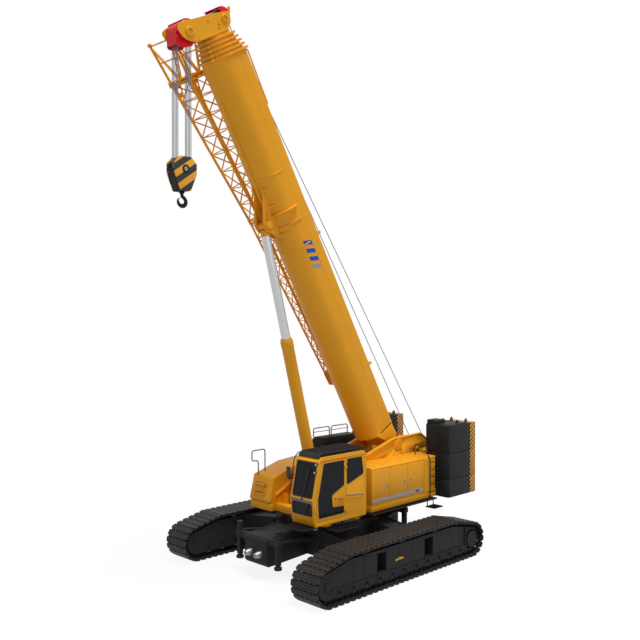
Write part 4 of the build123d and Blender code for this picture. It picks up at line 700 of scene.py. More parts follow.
# %% A small direction mark on each frame
mark = [(0.1, 0.585), (0.44, 0.575), (0.44, 0.61), (0.33, 0.625), (0.28, 0.665), (0.22, 0.63), (0.1, 0.615)]
marks = [plate(mark, upright, side * (TRACK_Y + FRAME_HALF), side * (TRACK_Y + FRAME_HALF + 0.0015), 0)
         for side in (-1, 1)]
dress("direction_marks", joined(marks), enamel("vinyl_mark_amber", "F0B030", 0.4, coat=0), TRACKS,
      slot="yellow_paint")

# %% [markdown]
# The car body carries the slewing ring between the tracks. It is a low welded box with a beam out to each
# track at both ends, and a nose with the tow stubs and the jacks that lift the machine when it takes its
# tracks off.

# %% Car body
JACK_X, JACK_Y = 2.567, 0.77
octagon = both_ways([(-1.25, -0.83), (-0.93, -1.15), (0.93, -1.15), (1.25, -0.83)])
parts = [plate(octagon, level, 0.42, 1.14, 0.012, 2),
         plate([(x * 0.99, y * 0.99) for x, y in octagon], level, 1.14, 1.178, 0.006)]
for sx in (-1, 1):
    x = 0.9 * sx
    for sy in (-1, 1):
        arm = [(0.95, 0.46), (2.262, 0.5), (2.262, 0.98), (1.55, 1.04), (0.95, 1.12)]
        parts.append(plate([(sy * y, z) for y, z in arm], frontal, x - 0.3, x + 0.3, 0.008))
        cover = [(0.95, 0.43), (2.262, 0.47), (2.262, 1.02), (1.55, 1.08), (0.95, 1.16)]
        for edge in (-0.31, 0.29):
            parts.append(plate([(sy * y, z) for y, z in cover], frontal, x + edge, x + edge + 0.02, 0.003))
        parts.append(block((x - 0.33, sy * 2.235, 0.44), (x + 0.33, sy * 2.263, 1.02), 0.004, 1))
    # nose with its flanges
    nose = [(1.18 * sx, 0.4), (2.6 * sx, 0.33), (2.68 * sx, 0.4), (2.68 * sx, 1.02), (2.6 * sx, 1.09),
            (1.18 * sx, 1.12)]
    parts += [plate(nose, upright, -0.44, 0.44, 0.01, 2),
              block((sx * 2.5, -0.705, 0.915), (sx * 2.634, 0.705, 1.085), 0.008)]
    for sy in (-1, 1):
        parts.append(plate([(sx * 1.2, sy * 0.43), (sx * 2.45, sy * 0.43), (sx * 2.45, sy * 0.52),
                            (sx * 1.3, sy * 0.95)], level, 0.9, 0.93, 0.003))
        # collar that holds a jack
        parts.append(block((sx * JACK_X - 0.085, sy * JACK_Y - 0.085, 0.93),
                           (sx * JACK_X + 0.085, sy * JACK_Y + 0.085, 1.07), 0.006))
dress("car_body_box", joined(parts), charcoal, TRACKS, "car_body")

# %% Tow stubs on the nose, and the hoses over it
stub = turned([(0.0, 0.0), (0.11, 0.0), (0.11, 0.012), (0.066, 0.176), (0.056, 0.188), (0.03, 0.188),
               (0.03, 0.17), (0.0, 0.17)], ORIGIN, UP, steps=24)
places = []
for sx in (-1, 1):
    for sy in (-1, 1):
        places.append(Matrix.Translation((sx * 2.679, sy * 0.19, 0.64)) @ facing((sx, 0, 0)))
dress("tow_stubs", copies(stub, places), bare_steel, TRACKS)
hoses = []
for sx in (-1, 1):
    for k, y in enumerate((-0.62, -0.55, 0.55, 0.62)):
        s = 1 if y > 0 else -1
        hoses.append(tube([(sx * 0.95, y * 1.15, 1.17), (sx * 1.1, y * 1.1, 1.24),
                           (sx * 1.45, y * 0.75, 1.16), (sx * 2.1, y * 0.62, 1.115),
                           (sx * 2.45, y * 1.02, 1.13), (sx * 2.55, s * 0.7, 1.1)], 0.016, 0.12, 8))
dress("jack_hoses", joined(hoses), rubber, TRACKS, slot="dark_paint")

# %% Jacks
post = [block((-0.062, -0.062, 0.44), (0.062, 0.062, 1.3), 0.008),
        block((-0.068, -0.068, 1.295), (0.068, 0.068, 1.33), 0.006),
        turned([(0, 0.33), (0.095, 0.33), (0.105, 0.345), (0.105, 0.4), (0.06, 0.42), (0.05, 0.48),
                (0, 0.48)], ORIGIN, UP, steps=24),
        drum(0.022, -0.075, 0.075, (0, 0, 1.17), FORWARD, steps=12),
        block((-0.03, 0.06, 0.55), (0.03, 0.072, 0.9), 0.003, 1)]
dress("jack_posts", copies(joined(post),
                           [Vector((sx * JACK_X, sy * JACK_Y, 0)) for sx in (-1, 1) for sy in (-1, 1)]),
      charcoal, TRACKS, "support_jacks")

# %% Slewing ring
lower = turned([(0.86, 1.182), (1.05, 1.182), (1.05, 1.21), (1.03, 1.215), (1.03, 1.29), (1.05, 1.298),
                (0.86, 1.298)], ORIGIN, UP, steps=72)
head_bolt = drum(0.014, 0, 0.014, ORIGIN, UP, steps=6, edge=0.002)
studs = copies(head_bolt, [Vector((1.075 * cos(k * pi / 24), 1.075 * sin(k * pi / 24), 1.178))
                           for k in range(48)])
dress("lower_race", joined([lower, studs]), bare_steel, TRACKS, "slewing_ring")

# %% [markdown]
# The turntable is the machine's backbone: a flat deck over the slewing ring and two tall side plates, joined
# by ribs, that hold the boom's pivot, the winches and the counterweight. The plates have a flange along their
# top edge, which keeps a tall thin plate from folding.

# %% Turntable
WEB_IN, WEB_OUT = 0.572, 0.62
BORE = 0.0605
WINCHES = ((-3.35, 2.7), (-4.18, 2.33))
spine = [(1.45, 1.442), (1.45, 1.9), (0.9, 2.18), (-0.3, 2.48), (-0.9, 2.8), (-2.25, 3.19), (-3.56, 3.23),
         (-3.9, 3.00), (-4.698, 2.9), (-4.698, 1.442)]
parts = []
for side in (-1, 1):
    sheet = plate(rounded(spine, 0.1), upright, side * WEB_IN, side * WEB_OUT, 0.004)
    sheet = cut(sheet, drum(0.0905, -2, 2, (PIVOT.x, 0, PIVOT.z), LEFT, steps=28, edge=0))
    for x, z in WINCHES:
        sheet = cut(sheet, drum(BORE, -2, 2, (x, 0, z), LEFT, steps=24, edge=0))
    for x, z, r in ((-1.35, 2.35, 0.16), (-2.55, 2.25, 0.2), (0.2, 1.98, 0.12)):
        sheet = cut(sheet, drum(r, -2, 2, (x, 0, z), LEFT, steps=28, edge=0))
    parts.append(sheet)
    # flange along the top edge
    edge_line = spine[1:9]
    strip = edge_line + [(x - 0.012, z - 0.028) for x, z in reversed(edge_line)]
    parts += [plate(strip, upright, side * 0.52, side * WEB_IN, 0.003),
              plate(strip, upright, side * WEB_OUT, side * 0.64, 0.003)]
    # stiffeners on the outside
    for x0, z0, x1, z1 in ((-1.9, 1.66, -2.3, 2.88), (-2.95, 1.66, -2.6, 2.88), (-4.1, 1.66, -4.1, 2.05)):
        parts.append(plate([(x0, z0), (x0 + 0.03, z0), (x1 + 0.03, z1), (x1, z1)], upright, side * 0.618,
                           side * 0.64, 0.002))
    # boss plates round the pivot and the winch axle
    parts.append(turned([(0.0905, 0), (0.19, 0), (0.19, 0.012), (0.165, 0.02), (0.0905, 0.02)],
                        (PIVOT.x, side * WEB_OUT, PIVOT.z), (0, side, 0), steps=36))
    # lugs for the cylinder's foot
    lug = plate(rounded([(0.1, 1.637), (0.766, 1.637), (0.6, 2.03), (0.52, 2.105), (0.345, 2.105),
                         (0.266, 2.03)], 0.06), upright, side * 0.2085, side * 0.268, 0.006, 2)
    parts.append(lug)
    parts += [turned([(0.0, 0), (0.11, 0), (0.11, 0.012), (0.095, 0.02), (0.0, 0.02)],
                     (0.433, side * 0.268, 1.95), (0, side, 0), steps=28),
              plate([(0.25, 1.638), (0.62, 1.638), (0.55, 1.9), (0.32, 1.9)], upright, side * 0.267,
                    side * 0.3, 0.003)]
# deck: middle, side wings, rear carrier and the front edge
parts += [block((-4.7, -0.619, 1.441), (1.45, 0.619, 1.64), 0.008),
          block((-3.19, 0.6, 1.441), (-0.272, 1.473, 1.639), 0.008),
          block((-3.19, -1.473, 1.441), (1.6, -0.6, 1.639), 0.008),
          block((-4.45, -1.0195, 1.441), (-3.55, 1.0195, 1.639), 0.008),
          turned(oblong(0.86, 1.3005, 1.05, 1.44), ORIGIN, UP, steps=64),
          block((-0.86, -0.62, 1.4), (0.86, 0.62, 1.443), 0.004)]
# arms that carry the cab
for x in (0.25, 1.35):
    arm = [(0.05, 1.331), (1.3, 1.331), (1.434, 1.36), (1.434, 1.4395), (0.05, 1.4395)]
    parts.append(plate(arm, frontal, x - 0.08, x + 0.08, 0.006))
# ribs across between the tall plates
for x, low, high in ((-3.75, 1.64, 1.98), (-1.1, 1.64, 1.95), (1.2, 1.64, 1.9)):
    parts.append(block((x - 0.015, -0.572, low), (x + 0.015, 0.572, high), 0.003, 1))
parts += [drum(0.055, -0.572, 0.572, (-3.86, 0, 2.93), LEFT, steps=20),
          drum(0.055, -0.572, 0.572, (-4.6, 0, 2.82), LEFT, steps=20),
          drum(0.045, -0.572, 0.572, (-0.55, 0, 2.45), LEFT, steps=20)]
dress("turntable_frame", joined(parts), yellow, UPPER, "turntable")

# %% [markdown]
# A winch drum is a cast barrel with two flanges. Its rope lies in neat turns side by side, which catch the
# light as fine ribs. The drum and its rope turn together.

# %% Winches
def winch(name, x, z):
    """A flanged drum with turns of rope, on an axle through the tall plates."""
    barrel = turned(both_ways([(0.0, -0.636), (0.05, -0.636), (0.0595, -0.628), (0.0595, -0.545),
                               (0.3, -0.545), (0.3, -0.535), (0.352, -0.53), (0.36, -0.52), (0.36, -0.505),
                               (0.352, -0.497), (0.23, -0.49)]), ORIGIN, LEFT, steps=48)
    windows = []
    for k in range(8):
        turn = k * pi / 4
        windows.append(drum(0.02, 0.515, 0.54, (0.33 * cos(turn), 0, 0.33 * sin(turn)), LEFT,
                            steps=8, edge=0.002))
    piece = joined([barrel] + windows)
    piece.data.transform(Matrix.Translation((x, 0, z)))
    dress(name, piece, charcoal, name, f"{name}_drum")
    turns = 34
    pitch = 0.97 / turns
    profile = [(0.231, -0.485)]
    for k in range(turns):
        middle = -0.485 + pitch * (k + 0.5)
        profile += [(0.258, middle - pitch * 0.38), (0.27, middle), (0.258, middle + pitch * 0.38)]
    profile.append((0.231, 0.485))
    coil = turned(profile, (x, 0, z), LEFT, steps=40, angle=60)
    dress(f"{name}_rope", coil, wire_rope, name)


winch("main_winch", *WINCHES[0])
winch("auxiliary_winch", *WINCHES[1])
for side in (-1, 1):
    caps = [turned([(0.0, 0.0), (0.13, 0.0), (0.13, 0.012), (0.11, 0.02), (0.1, 0.02)], (x, side * 0.641, z),
                   (0, side, 0), steps=28) for x, z in WINCHES]
    bolts = []
    for x, z in WINCHES:
        for k in range(8):
            turn = k * pi / 4
            bolts.append(drum(0.01, 0, 0.01, (x + 0.115 * cos(turn), side * 0.652, z + 0.115 * sin(turn)),
                              (0, side, 0), steps=6, edge=0.001))
    dress("winch_covers_" + ("left" if side > 0 else "right"), joined(caps + bolts), yellow, UPPER)

# %% [markdown]
# The cab is a folded steel shell with large windows. Its side outline is cut first, hollowed, and the
# openings are cut through one wall at a time. A rubber seal runs round every pane, which draws the thin black
# line that real glazing has.

# %% Cab shell
CAB_IN, CAB_OUT = 0.644, 1.494
HINGES = (1.75, 2.92)
cab_side = [(-0.04, 1.44), (1.93, 1.44), (1.985, 1.7), (2.01, 2.13), (1.8, 3.12), (1.69, 3.219),
            (0.06, 3.219), (-0.04, 3.12)]
cab_hollow = [(0.005, 1.485), (1.885, 1.485), (1.94, 1.71), (1.963, 2.13), (1.762, 3.09), (1.67, 3.174),
              (0.08, 3.174), (0.005, 3.1)]
door_hole = [(0.8, 1.56), (1.85, 1.56), (1.895, 2.13), (1.7, 3.06), (1.64, 3.11), (0.8, 3.11)]
rear_pane = [(0.09, 2.6), (0.74, 2.38), (0.74, 3.06), (0.16, 3.06)]
right_pane = [(0.09, 2.1), (1.84, 2.1), (1.66, 3.06), (0.16, 3.06)]
shell = plate(rounded(cab_side, 0.06), upright, CAB_IN, CAB_OUT, edge=0)
shell = cut(shell, plate(cab_hollow, upright, CAB_IN + 0.045, CAB_OUT - 0.045, edge=0))
for opening, near, far in ((door_hole, CAB_OUT - 0.06, CAB_OUT + 0.1),
                           (rear_pane, CAB_OUT - 0.06, CAB_OUT + 0.1),
                           (right_pane, CAB_IN + 0.06, CAB_IN - 0.1)):
    shell = cut(shell, plate(rounded(opening, 0.05), upright, near, far, edge=0))
for low, high in ((1.72, 2.04), (2.19, 3.08)):
    shell = cut(shell, plate(rounded(oblong(CAB_IN + 0.06, low, CAB_OUT - 0.06, high), 0.04), frontal,
                             1.7, 2.2, edge=0))
shell = cut(shell, plate(rounded(oblong(CAB_IN + 0.09, 2.43, CAB_OUT - 0.09, 3.07), 0.05), frontal, -0.2,
                         0.15, edge=0))
shell = soften(shell, 0.01, 2, 40)
parts = [shell]
# round corner post under the front left corner, and the cab's mounts
parts.append(turned([(0, 1.37), (0.055, 1.37), (0.062, 1.38), (0.062, 1.44), (0.0, 1.44)], (1.86, 1.42, 0),
                    UP, steps=24))
# rain gutter and a latch plate on the front post
parts += [plate([(0.02, 3.135), (1.72, 3.135), (1.73, 3.15), (0.01, 3.15)], upright, CAB_OUT - 0.003,
                CAB_OUT + 0.016, 0.003),
          plate(rounded([(1.895, 1.83), (1.965, 1.83), (1.975, 2.02), (1.905, 2.02)], 0.02), upright,
                CAB_OUT - 0.003, CAB_OUT + 0.022, 0.004)]
for z in HINGES:
    for end in (-1, 1):
        parts += [drum(0.016, -0.02, 0.02, (0.79, 1.512, z + end * 0.0703), UP, steps=14),
                  block((0.746, 1.49, z + end * 0.0703 - 0.02), (0.79, 1.52, z + end * 0.0703 + 0.02), 0.003)]
dress("cab_body", joined(parts), yellow, UPPER, "cab_shell")

# %% Panes and their seals
def seal(corners, place, depth, radius=0.012):
    """A rubber bead round an opening."""
    return tube([place(a, b, depth) for a, b in rounded(corners, 0.05, 3)], radius, 0.0, sides=6, closed=True)


def wind(z):
    """The front face of the cab at a height."""
    for (x0, z0), (x1, z1) in zip(cab_side[1:4], cab_side[2:5]):
        if z0 <= z <= z1:
            return x0 + (x1 - x0) * (z - z0) / (z1 - z0)
    return cab_side[4][0]


panes, seals = [], []
panes.append(plate(rounded(rear_pane, 0.05), upright, CAB_OUT - 0.016, CAB_OUT - 0.008, 0.001))
seals.append(seal(rear_pane, upright, CAB_OUT - 0.004))
panes.append(plate(rounded(right_pane, 0.05), upright, CAB_IN + 0.008, CAB_IN + 0.016, 0.001))
seals.append(seal(right_pane, upright, CAB_IN + 0.004))
panes.append(plate(rounded(oblong(CAB_IN + 0.09, 2.43, CAB_OUT - 0.09, 3.07), 0.05), frontal, -0.03,
                   -0.022, 0.001))
seals.append(seal(oblong(CAB_IN + 0.09, 2.43, CAB_OUT - 0.09, 3.07), frontal, -0.04))
for low, high in ((1.722, 2.038), (2.192, 3.078)):
    rows = []
    for k in range(9):
        z = low + (high - low) * k / 8
        rows.append((wind(z) - 0.01, z))
    panes.append(plate(rows + [(x - 0.008, z) for x, z in reversed(rows)], upright, CAB_IN + 0.062,
                       CAB_OUT - 0.062, 0.001))
    frame_line = [(wind(z) + 0.001, y, z)
                  for y, z in rounded(oblong(CAB_IN + 0.062, low, CAB_OUT - 0.062, high), 0.05, 3)]
    seals.append(tube(frame_line, 0.013, 0.0, sides=6, closed=True))
dress("cab_panes", joined(panes), glass, UPPER, "cab_glass")
dress("cab_seals", joined(seals), rubber, UPPER)

# %% [markdown]
# The door is one pressed leaf with a deep window, whose edge steps round a stiff tongue that holds the latch.

# %% Door
leaf_outline = [(0.806, 1.566), (1.844, 1.566), (1.889, 2.13), (1.694, 3.057), (1.637, 3.104), (0.806, 3.104)]
window = [(0.86, 2.39), (0.86, 3.05), (1.62, 3.05), (1.83, 2.13), (1.8, 1.65), (0.86, 1.65), (0.86, 1.83),
          (1.3, 1.86), (1.32, 2.15), (1.27, 2.21)]
leaf = plate(rounded(leaf_outline, 0.045), upright, 1.464, 1.498, edge=0)
leaf = soften(cut(leaf, plate(rounded(window, 0.035), upright, 1.3, 1.6, edge=0)), 0.005, 2)
parts = [leaf]
for z in HINGES:
    parts += [drum(0.0155, -0.049, 0.049, (0.79, 1.512, z), UP, steps=14),
              plate(rounded(oblong(0.792, z - 0.045, 0.868, z + 0.045), 0.012), upright, 1.4965,
                    1.518, 0.003)]
dress("door_leaf", joined(parts), yellow, "cab_door", "cab_door")
pane = plate(rounded(window, 0.035), upright, 1.474, 1.482, 0.001)
dress("door_pane", pane, glass, "cab_door", "cab_door_glass")
bead = seal(window, upright, 1.497, 0.01)
grip = tube([(1.1, 1.498, 2.06), (1.1, 1.524, 2.06), (0.92, 1.524, 2.02), (0.92, 1.498, 2.02)], 0.009, 0.02)
lock = drum(0.022, 1.496, 1.51, (1.19, 0, 2.07), LEFT, steps=20)
dress("door_seal_and_handle", joined([bead, grip, lock]), trim, "cab_door")

# %% [markdown]
# The seat is a suspension seat: a moulded base, a crowned cushion, a winged back and a headrest, all in woven
# cloth with piped seams. Each cushion is a box that a subdivision surface rounds, with its middle raised and
# its edges pulled in, so it swells like foam under a stretched cover.

# %% Cushions of the operator's chair
def cushion(low, high, crown, lean=0.0, pivot=(0, 0, 0)):
    """A crowned pad between two corners, thickest in its middle."""
    low, high = Vector(low), Vector(high)
    bpy.ops.mesh.primitive_cube_add(size=1, location=(low + high) / 2)
    pad = bpy.context.object
    pad.scale = high - low
    bpy.ops.object.transform_apply(location=True, rotation=True, scale=True)
    bpy.ops.object.mode_set(mode="EDIT")
    bpy.ops.mesh.select_all(action="SELECT")
    bpy.ops.mesh.subdivide(number_cuts=5)
    bpy.ops.object.mode_set(mode="OBJECT")
    middle = (low + high) / 2
    half = (high - low) / 2
    thin = min(range(3), key=lambda axis: half[axis])
    across = [axis for axis in range(3) if axis != thin]
    for vertex in pad.data.vertices:
        a = (vertex.co[across[0]] - middle[across[0]]) / half[across[0]]
        b = (vertex.co[across[1]] - middle[across[1]]) / half[across[1]]
        rise = crown * (1 - a * a) * (1 - b * b) - crown * 0.35 * (a * a * b * b)
        side = 1 if vertex.co[thin] > middle[thin] else -1
        vertex.co[thin] += side * rise * (1.0 if side > 0 else 0.4)
        pull = 0.035
        vertex.co[across[0]] -= pull * half[across[0]] * a * (1 - b * b)
        vertex.co[across[1]] -= pull * half[across[1]] * b * (1 - a * a)
    smooth = pad.modifiers.new("foam", "SUBSURF")
    smooth.levels = smooth.render_levels = 2
    bpy.ops.object.modifier_apply(modifier=smooth.name)
    turn = Matrix.Translation(pivot) @ Matrix.Rotation(lean, 4, "Y") @ Matrix.Translation(-Vector(pivot))
    pad.data.transform(turn)
    return soften(pad, 0, angle=60)


MID = (CAB_IN + CAB_OUT) / 2
LEAN = radians(-9.6)
base_pad = cushion((0.4, MID - 0.225, 1.83), (0.895, MID + 0.225, 1.935), 0.02)
back_pad = cushion((0.385, MID - 0.205, 1.88), (0.495, MID + 0.205, 2.42), 0.022, LEAN, (0.44, MID, 1.88))
head_pad = cushion((0.385, MID - 0.13, 2.44), (0.475, MID + 0.13, 2.555), 0.012, LEAN, (0.44, MID, 1.88))
piping = [tube([(x, y, 1.885) for x, y in rounded(oblong(0.415, MID - 0.215, 0.88, MID + 0.215), 0.05, 3)],
               0.005, 0, sides=6, closed=True)]
seat = joined([base_pad, back_pad, head_pad, *piping])
dress("seat_cushions", seat, cloth, UPPER, "operator_seat", slot="seat_fabric")
parts = [block((0.43, MID - 0.17, 1.487), (0.82, MID + 0.17, 1.56), 0.02),
         plate(rounded([(0.45, 1.56), (0.8, 1.56), (0.84, 1.8), (0.42, 1.8)], 0.03), upright, MID - 0.14,
               MID + 0.14, 0.01, 2),
         block((0.405, MID - 0.2, 1.79), (0.88, MID + 0.2, 1.835), 0.012)]
for k in range(5):
    parts.append(block((0.432, MID - 0.155, 1.58 + 0.045 * k), (0.835, MID + 0.155, 1.6 + 0.045 * k), 0.008))
for side in (-1, 1):
    parts.append(tube([(0.43, MID + side * 0.1, 2.38), (0.395, MID + side * 0.05, 2.5)], 0.008, 0))
dress("seat_base", joined(parts), trim, UPPER)

# %% Consoles, levers, pedals and display
parts = []
for side in (-1, 1):
    y = MID + side * 0.3
    arm = rounded([(0.5, 1.487), (1.04, 1.487), (1.045, 1.95), (0.98, 2.06), (0.56, 2.08), (0.5, 2.02)], 0.05)
    parts += [plate(arm, upright, y - 0.052, y + 0.052, 0.012, 2),
              turned([(0, 0), (0.035, 0), (0.028, 0.03), (0.012, 0.05), (0.01, 0.1), (0.022, 0.12),
                      (0.024, 0.16), (0.012, 0.18), (0, 0.18)], (0.95, y, 2.03), UP, steps=16)]
    for k in range(4):
        parts.append(block((0.62 + 0.05 * k, y - 0.02, 2.062), (0.65 + 0.05 * k, y + 0.02, 2.082), 0.003, 1))
parts.append(plate(rounded([(1.57, 1.487), (1.71, 1.487), (1.7, 1.9), (1.64, 2.02), (1.58, 2.02)], 0.03),
                   upright, MID - 0.2, MID + 0.2, 0.012, 2))
for y in (-0.13, 0.0, 0.13):
    parts.append(plate([(1.4, 1.5), (1.56, 1.62), (1.55, 1.635), (1.39, 1.515)], upright, MID + y - 0.045,
                       MID + y + 0.045, 0.003))
parts += [block((1.6, MID - 0.37, 2.1), (1.63, MID - 0.2, 2.32), 0.008),
          tube([(1.62, MID - 0.28, 2.12), (1.64, MID - 0.22, 1.98)], 0.01, 0)]
dress("cab_consoles", joined(parts), trim, UPPER, "control_consoles")

# %% [markdown]
# Over the roof stands a guard of bars, and the front carries two wipers, a tubular grab rail, mirrors and
# lamps.

# %% Roof guard
parts = []
for y in (0.684, 1.434):
    parts += [block((0.0, y - 0.02, 3.221), (1.64, y + 0.02, 3.245), 0.003, 1),
              block((0.0, y - 0.018, 3.285), (1.64, y + 0.018, 3.318), 0.004)]
    for x in (0.06, 0.82, 1.58):
        parts.append(block((x - 0.02, y - 0.016, 3.24), (x + 0.02, y + 0.016, 3.29), 0.002, 1))
for k in range(17):
    x = 0.02 + 1.6 * k / 16
    parts.append(block((x - 0.012, 0.69, 3.29), (x + 0.012, 1.43, 3.312), 0.003, 1))
for y in (0.87, 1.06, 1.25):
    parts.append(block((0.01, y - 0.012, 3.297), (1.63, y + 0.012, 3.319), 0.003, 1))
parts += [block((0.02, 0.7, 3.262), (1.62, 1.42, 3.272), 0.002, 1),
          plate([(1.6, 3.318), (1.7, 3.275), (1.76, 3.2), (1.75, 3.19), (1.69, 3.262), (1.595, 3.304)],
                upright, 0.67, 1.45, 0.003)]
dress("roof_guard_bars", joined(parts), charcoal, UPPER, "cab_roof_guard")

# %% Wipers, grab rails and mirrors
parts = []
for y, z0, z1, swing in ((MID + 0.02, 2.14, 2.88, 0.1), (MID + 0.22, 1.98, 1.8, -0.12)):
    step = 0.028
    parts += [drum(0.022, 0.0, 0.035, (wind(z0), y, z0), (1, 0, 0.15), steps=14),
              tube([(wind(z0) + step, y, z0), (wind((z0 + z1) / 2) + step + 0.006, y + swing / 2,
                                               (z0 + z1) / 2), (wind(z1) + step, y + swing, z1)], 0.008,
                   0.02, sides=6),
              tube([(wind(z0 + (z1 - z0) * 0.25) + 0.012, y + swing * 0.25 + 0.02, z0 + (z1 - z0) * 0.25),
                    (wind(z1) + 0.012, y + swing + 0.02, z1 + (0.08 if z1 > z0 else -0.03))], 0.009,
                   0.0, sides=6)]
dress("wipers", joined(parts), trim, UPPER)
parts = []
y = CAB_IN - 0.01
front_rail = [(1.965, y, 1.93), (2.045, y, 1.95), (2.055, y, 2.2), (1.86, y, 3.14), (1.72, y, 3.27),
              (1.5, y + 0.05, 3.27)]
parts += [tube(front_rail, 0.014, 0.1),
          tube([(wind(2.6) - 0.005, y + 0.01, 2.6), (wind(2.6) + 0.052, y, 2.6)], 0.01, 0)]
rail_left = [(0.1, CAB_OUT - 0.003, 2.03), (0.1, CAB_OUT + 0.035, 2.03), (0.75, CAB_OUT + 0.035, 2.1),
             (0.75, CAB_OUT - 0.003, 2.1)]
dress("cab_grab_rail_front", joined(parts), charcoal, UPPER)
dress("cab_grab_rail_side", tube(rail_left, 0.014, 0.03), silver, UPPER)
parts = []
y = CAB_OUT - 0.02
for z in (3.06, 2.86):
    x = wind(z)
    parts += [tube([(x - 0.02, y, z), (x + 0.06, y + 0.02, z + 0.01), (x + 0.09, y + 0.02, z)], 0.01, 0.02),
              block((x + 0.055, y - 0.03, z - 0.035), (x + 0.095, y + 0.05, z + 0.035), 0.012)]
parts += [tube([(wind(2.7) - 0.02, CAB_IN + 0.02, 2.72), (wind(2.7) + 0.08, CAB_IN - 0.1, 2.74)], 0.01, 0.02),
          block((wind(2.7) + 0.06, CAB_IN - 0.2, 2.6), (wind(2.7) + 0.1, CAB_IN - 0.06, 2.9), 0.016)]
dress("mirrors_and_lamp_housings", joined(parts), trim, UPPER)
faces = [drum(0.026, 0.0, 0.006, (wind(z) + 0.094, CAB_OUT - 0.01, z), FORWARD, steps=20, edge=0.002)
         for z in (3.06, 2.86)]
dress("front_lamps", joined(faces), lamp_glass, UPPER, slot="tinted_glass")
band = plate(oblong(CAB_IN + 0.03, 2.055, CAB_OUT - 0.03, 2.125), frontal, 2.006, 2.013, 0.002)
dress("front_band", band, silver, UPPER)

# %% [markdown]
# The left bodywork is a row of hinged steel doors over the hydraulics. Each door is its own folded panel with
# a gap round it, a flush latch and two hidden hinges, so the seams are real gaps and not drawn lines.

# %% Left bodywork
BODY_OUT, BODY_TOP, BODY_LOW = 1.494, 2.665, 1.6403
seams = [-0.27, -1.04, -1.84, -2.62]
parts = [block((-3.18, 0.623, BODY_LOW + 0.002), (-0.28, 1.462, 2.6), 0.006)]
top = [(0.623, 2.598), (1.455, 2.598), (1.466, 2.61), (1.466, 2.636), (1.438, BODY_TOP), (0.623, BODY_TOP)]
parts.append(plate(top, frontal, -3.188, -0.272, 0.008, 2))
for rear, front in zip(seams[1:], seams[:-1]):
    parts.append(block((rear + 0.005, 1.458, BODY_LOW + 0.045), (front - 0.005, BODY_OUT, 2.595), 0.01, 2))
parts += [plate([(-2.625, BODY_OUT), (-2.79, BODY_OUT), (-3.19, 1.385), (-3.19, 1.34), (-2.625, 1.44)],
                level, BODY_LOW, 2.6, 0.006),
          block((-3.18, 1.44, BODY_LOW), (-0.272, 1.485, BODY_LOW + 0.04), 0.005)]
# front bulkhead of the bodywork behind the cab
parts.append(block((-0.285, 0.625, BODY_LOW + 0.002), (-0.27, 1.487, 2.63), 0.004))
for k in range(9):
    x = -0.45 - 0.3 * k
    parts.append(block((x - 0.1, 1.463, 2.606), (x + 0.1, 1.478, 2.628), 0.004, 1))
# ribs across the roof
for k in range(7):
    x = -0.55 - 0.4 * k
    parts.append(block((x - 0.015, 0.7, 2.664), (x + 0.015, 1.38, 2.674), 0.003, 1))
dress("left_doors", joined(parts), yellow, UPPER, "left_housing")

# %% Latches, hinges and the stripe
parts = []
for x in (-0.93, -1.71, -2.00):
    parts += [plate(rounded(oblong(x - 0.045, 2.085, x + 0.045, 2.155), 0.018), upright, BODY_OUT - 0.002,
                    BODY_OUT + 0.01, 0.003),
              plate(rounded(oblong(x - 0.03, 2.1, x + 0.03, 2.125), 0.01), upright, BODY_OUT + 0.009,
                    BODY_OUT + 0.018, 0.002)]
dress("door_latches", joined(parts), bare_steel, UPPER)
parts = []
for low_end, high_end, front in ((-1.035, -1.035, -0.275), (-1.835, -1.835, -1.045), (-2.52, -2.6, -1.845)):
    parts.append(plate([(front, 1.7), (low_end, 1.7), (high_end, 1.79), (front, 1.79)], upright,
                       BODY_OUT - 0.001, BODY_OUT + 0.0012, 0))
dress("body_stripe", joined(parts), enamel("vinyl_stripe_silver", "A9A9A6", 0.4, dust=0.1, coat=0.0), UPPER,
      slot="yellow_paint")
mark = plate([(-2.18, 1.707), (-2.32, 1.707), (-2.38, 1.783), (-2.24, 1.783)], upright, BODY_OUT + 0.001,
             BODY_OUT + 0.0022, 0)
dress("body_mark", mark, blue, UPPER, slot="yellow_paint")

# %% [markdown]
# The right bodywork runs forward past the cylinder as a sloping nose with two tread steps, and carries the
# cooling and exhaust boxes. Its side is pierced by pressed louvres.

# %% Right bodywork
hood = rounded([(1.655, 1.6403), (1.47, 2.36), (0.56, 2.62), (0.0, 2.665), (-3.19, 2.665),
                (-3.19, 1.6403)], 0.09)
body = plate(hood, upright, -1.494, -0.622, edge=0.03, steps=4, angle=50)
parts = [body]
for z, reach in ((2.15, 0.095), (1.88, 0.085)):
    nose, back = 1.57 + reach, 1.655 - (z - 1.64) * (0.185 / 0.72)
    parts.append(plate(rounded([(back - 0.02, -1.34), (nose, -1.3), (nose, -0.86), (back - 0.02, -0.82)],
                               0.03), level, z - 0.023, z + 0.023, 0.006, 2))
    for y in (-1.25, -0.91):
        parts.append(plate([(back - 0.01, z - 0.02), (nose - 0.03, z - 0.02), (back + 0.01, z - 0.12)],
                           upright, y - 0.008, y + 0.008, 0.002))
# doors on the far side
for rear, front in ((-3.12, -2.18), (-2.16, -1.22), (-1.2, -0.26), (-0.24, 0.6)):
    parts.append(block((rear, -1.502, 1.7), (front, -1.486, 2.56), 0.007, 2))
for k in range(5):
    parts.append(block((0.75, -1.5, 1.8 + 0.1 * k), (1.25, -1.488, 1.84 + 0.1 * k), 0.004))
dress("right_bodywork", joined(parts), yellow, UPPER, "right_housing")

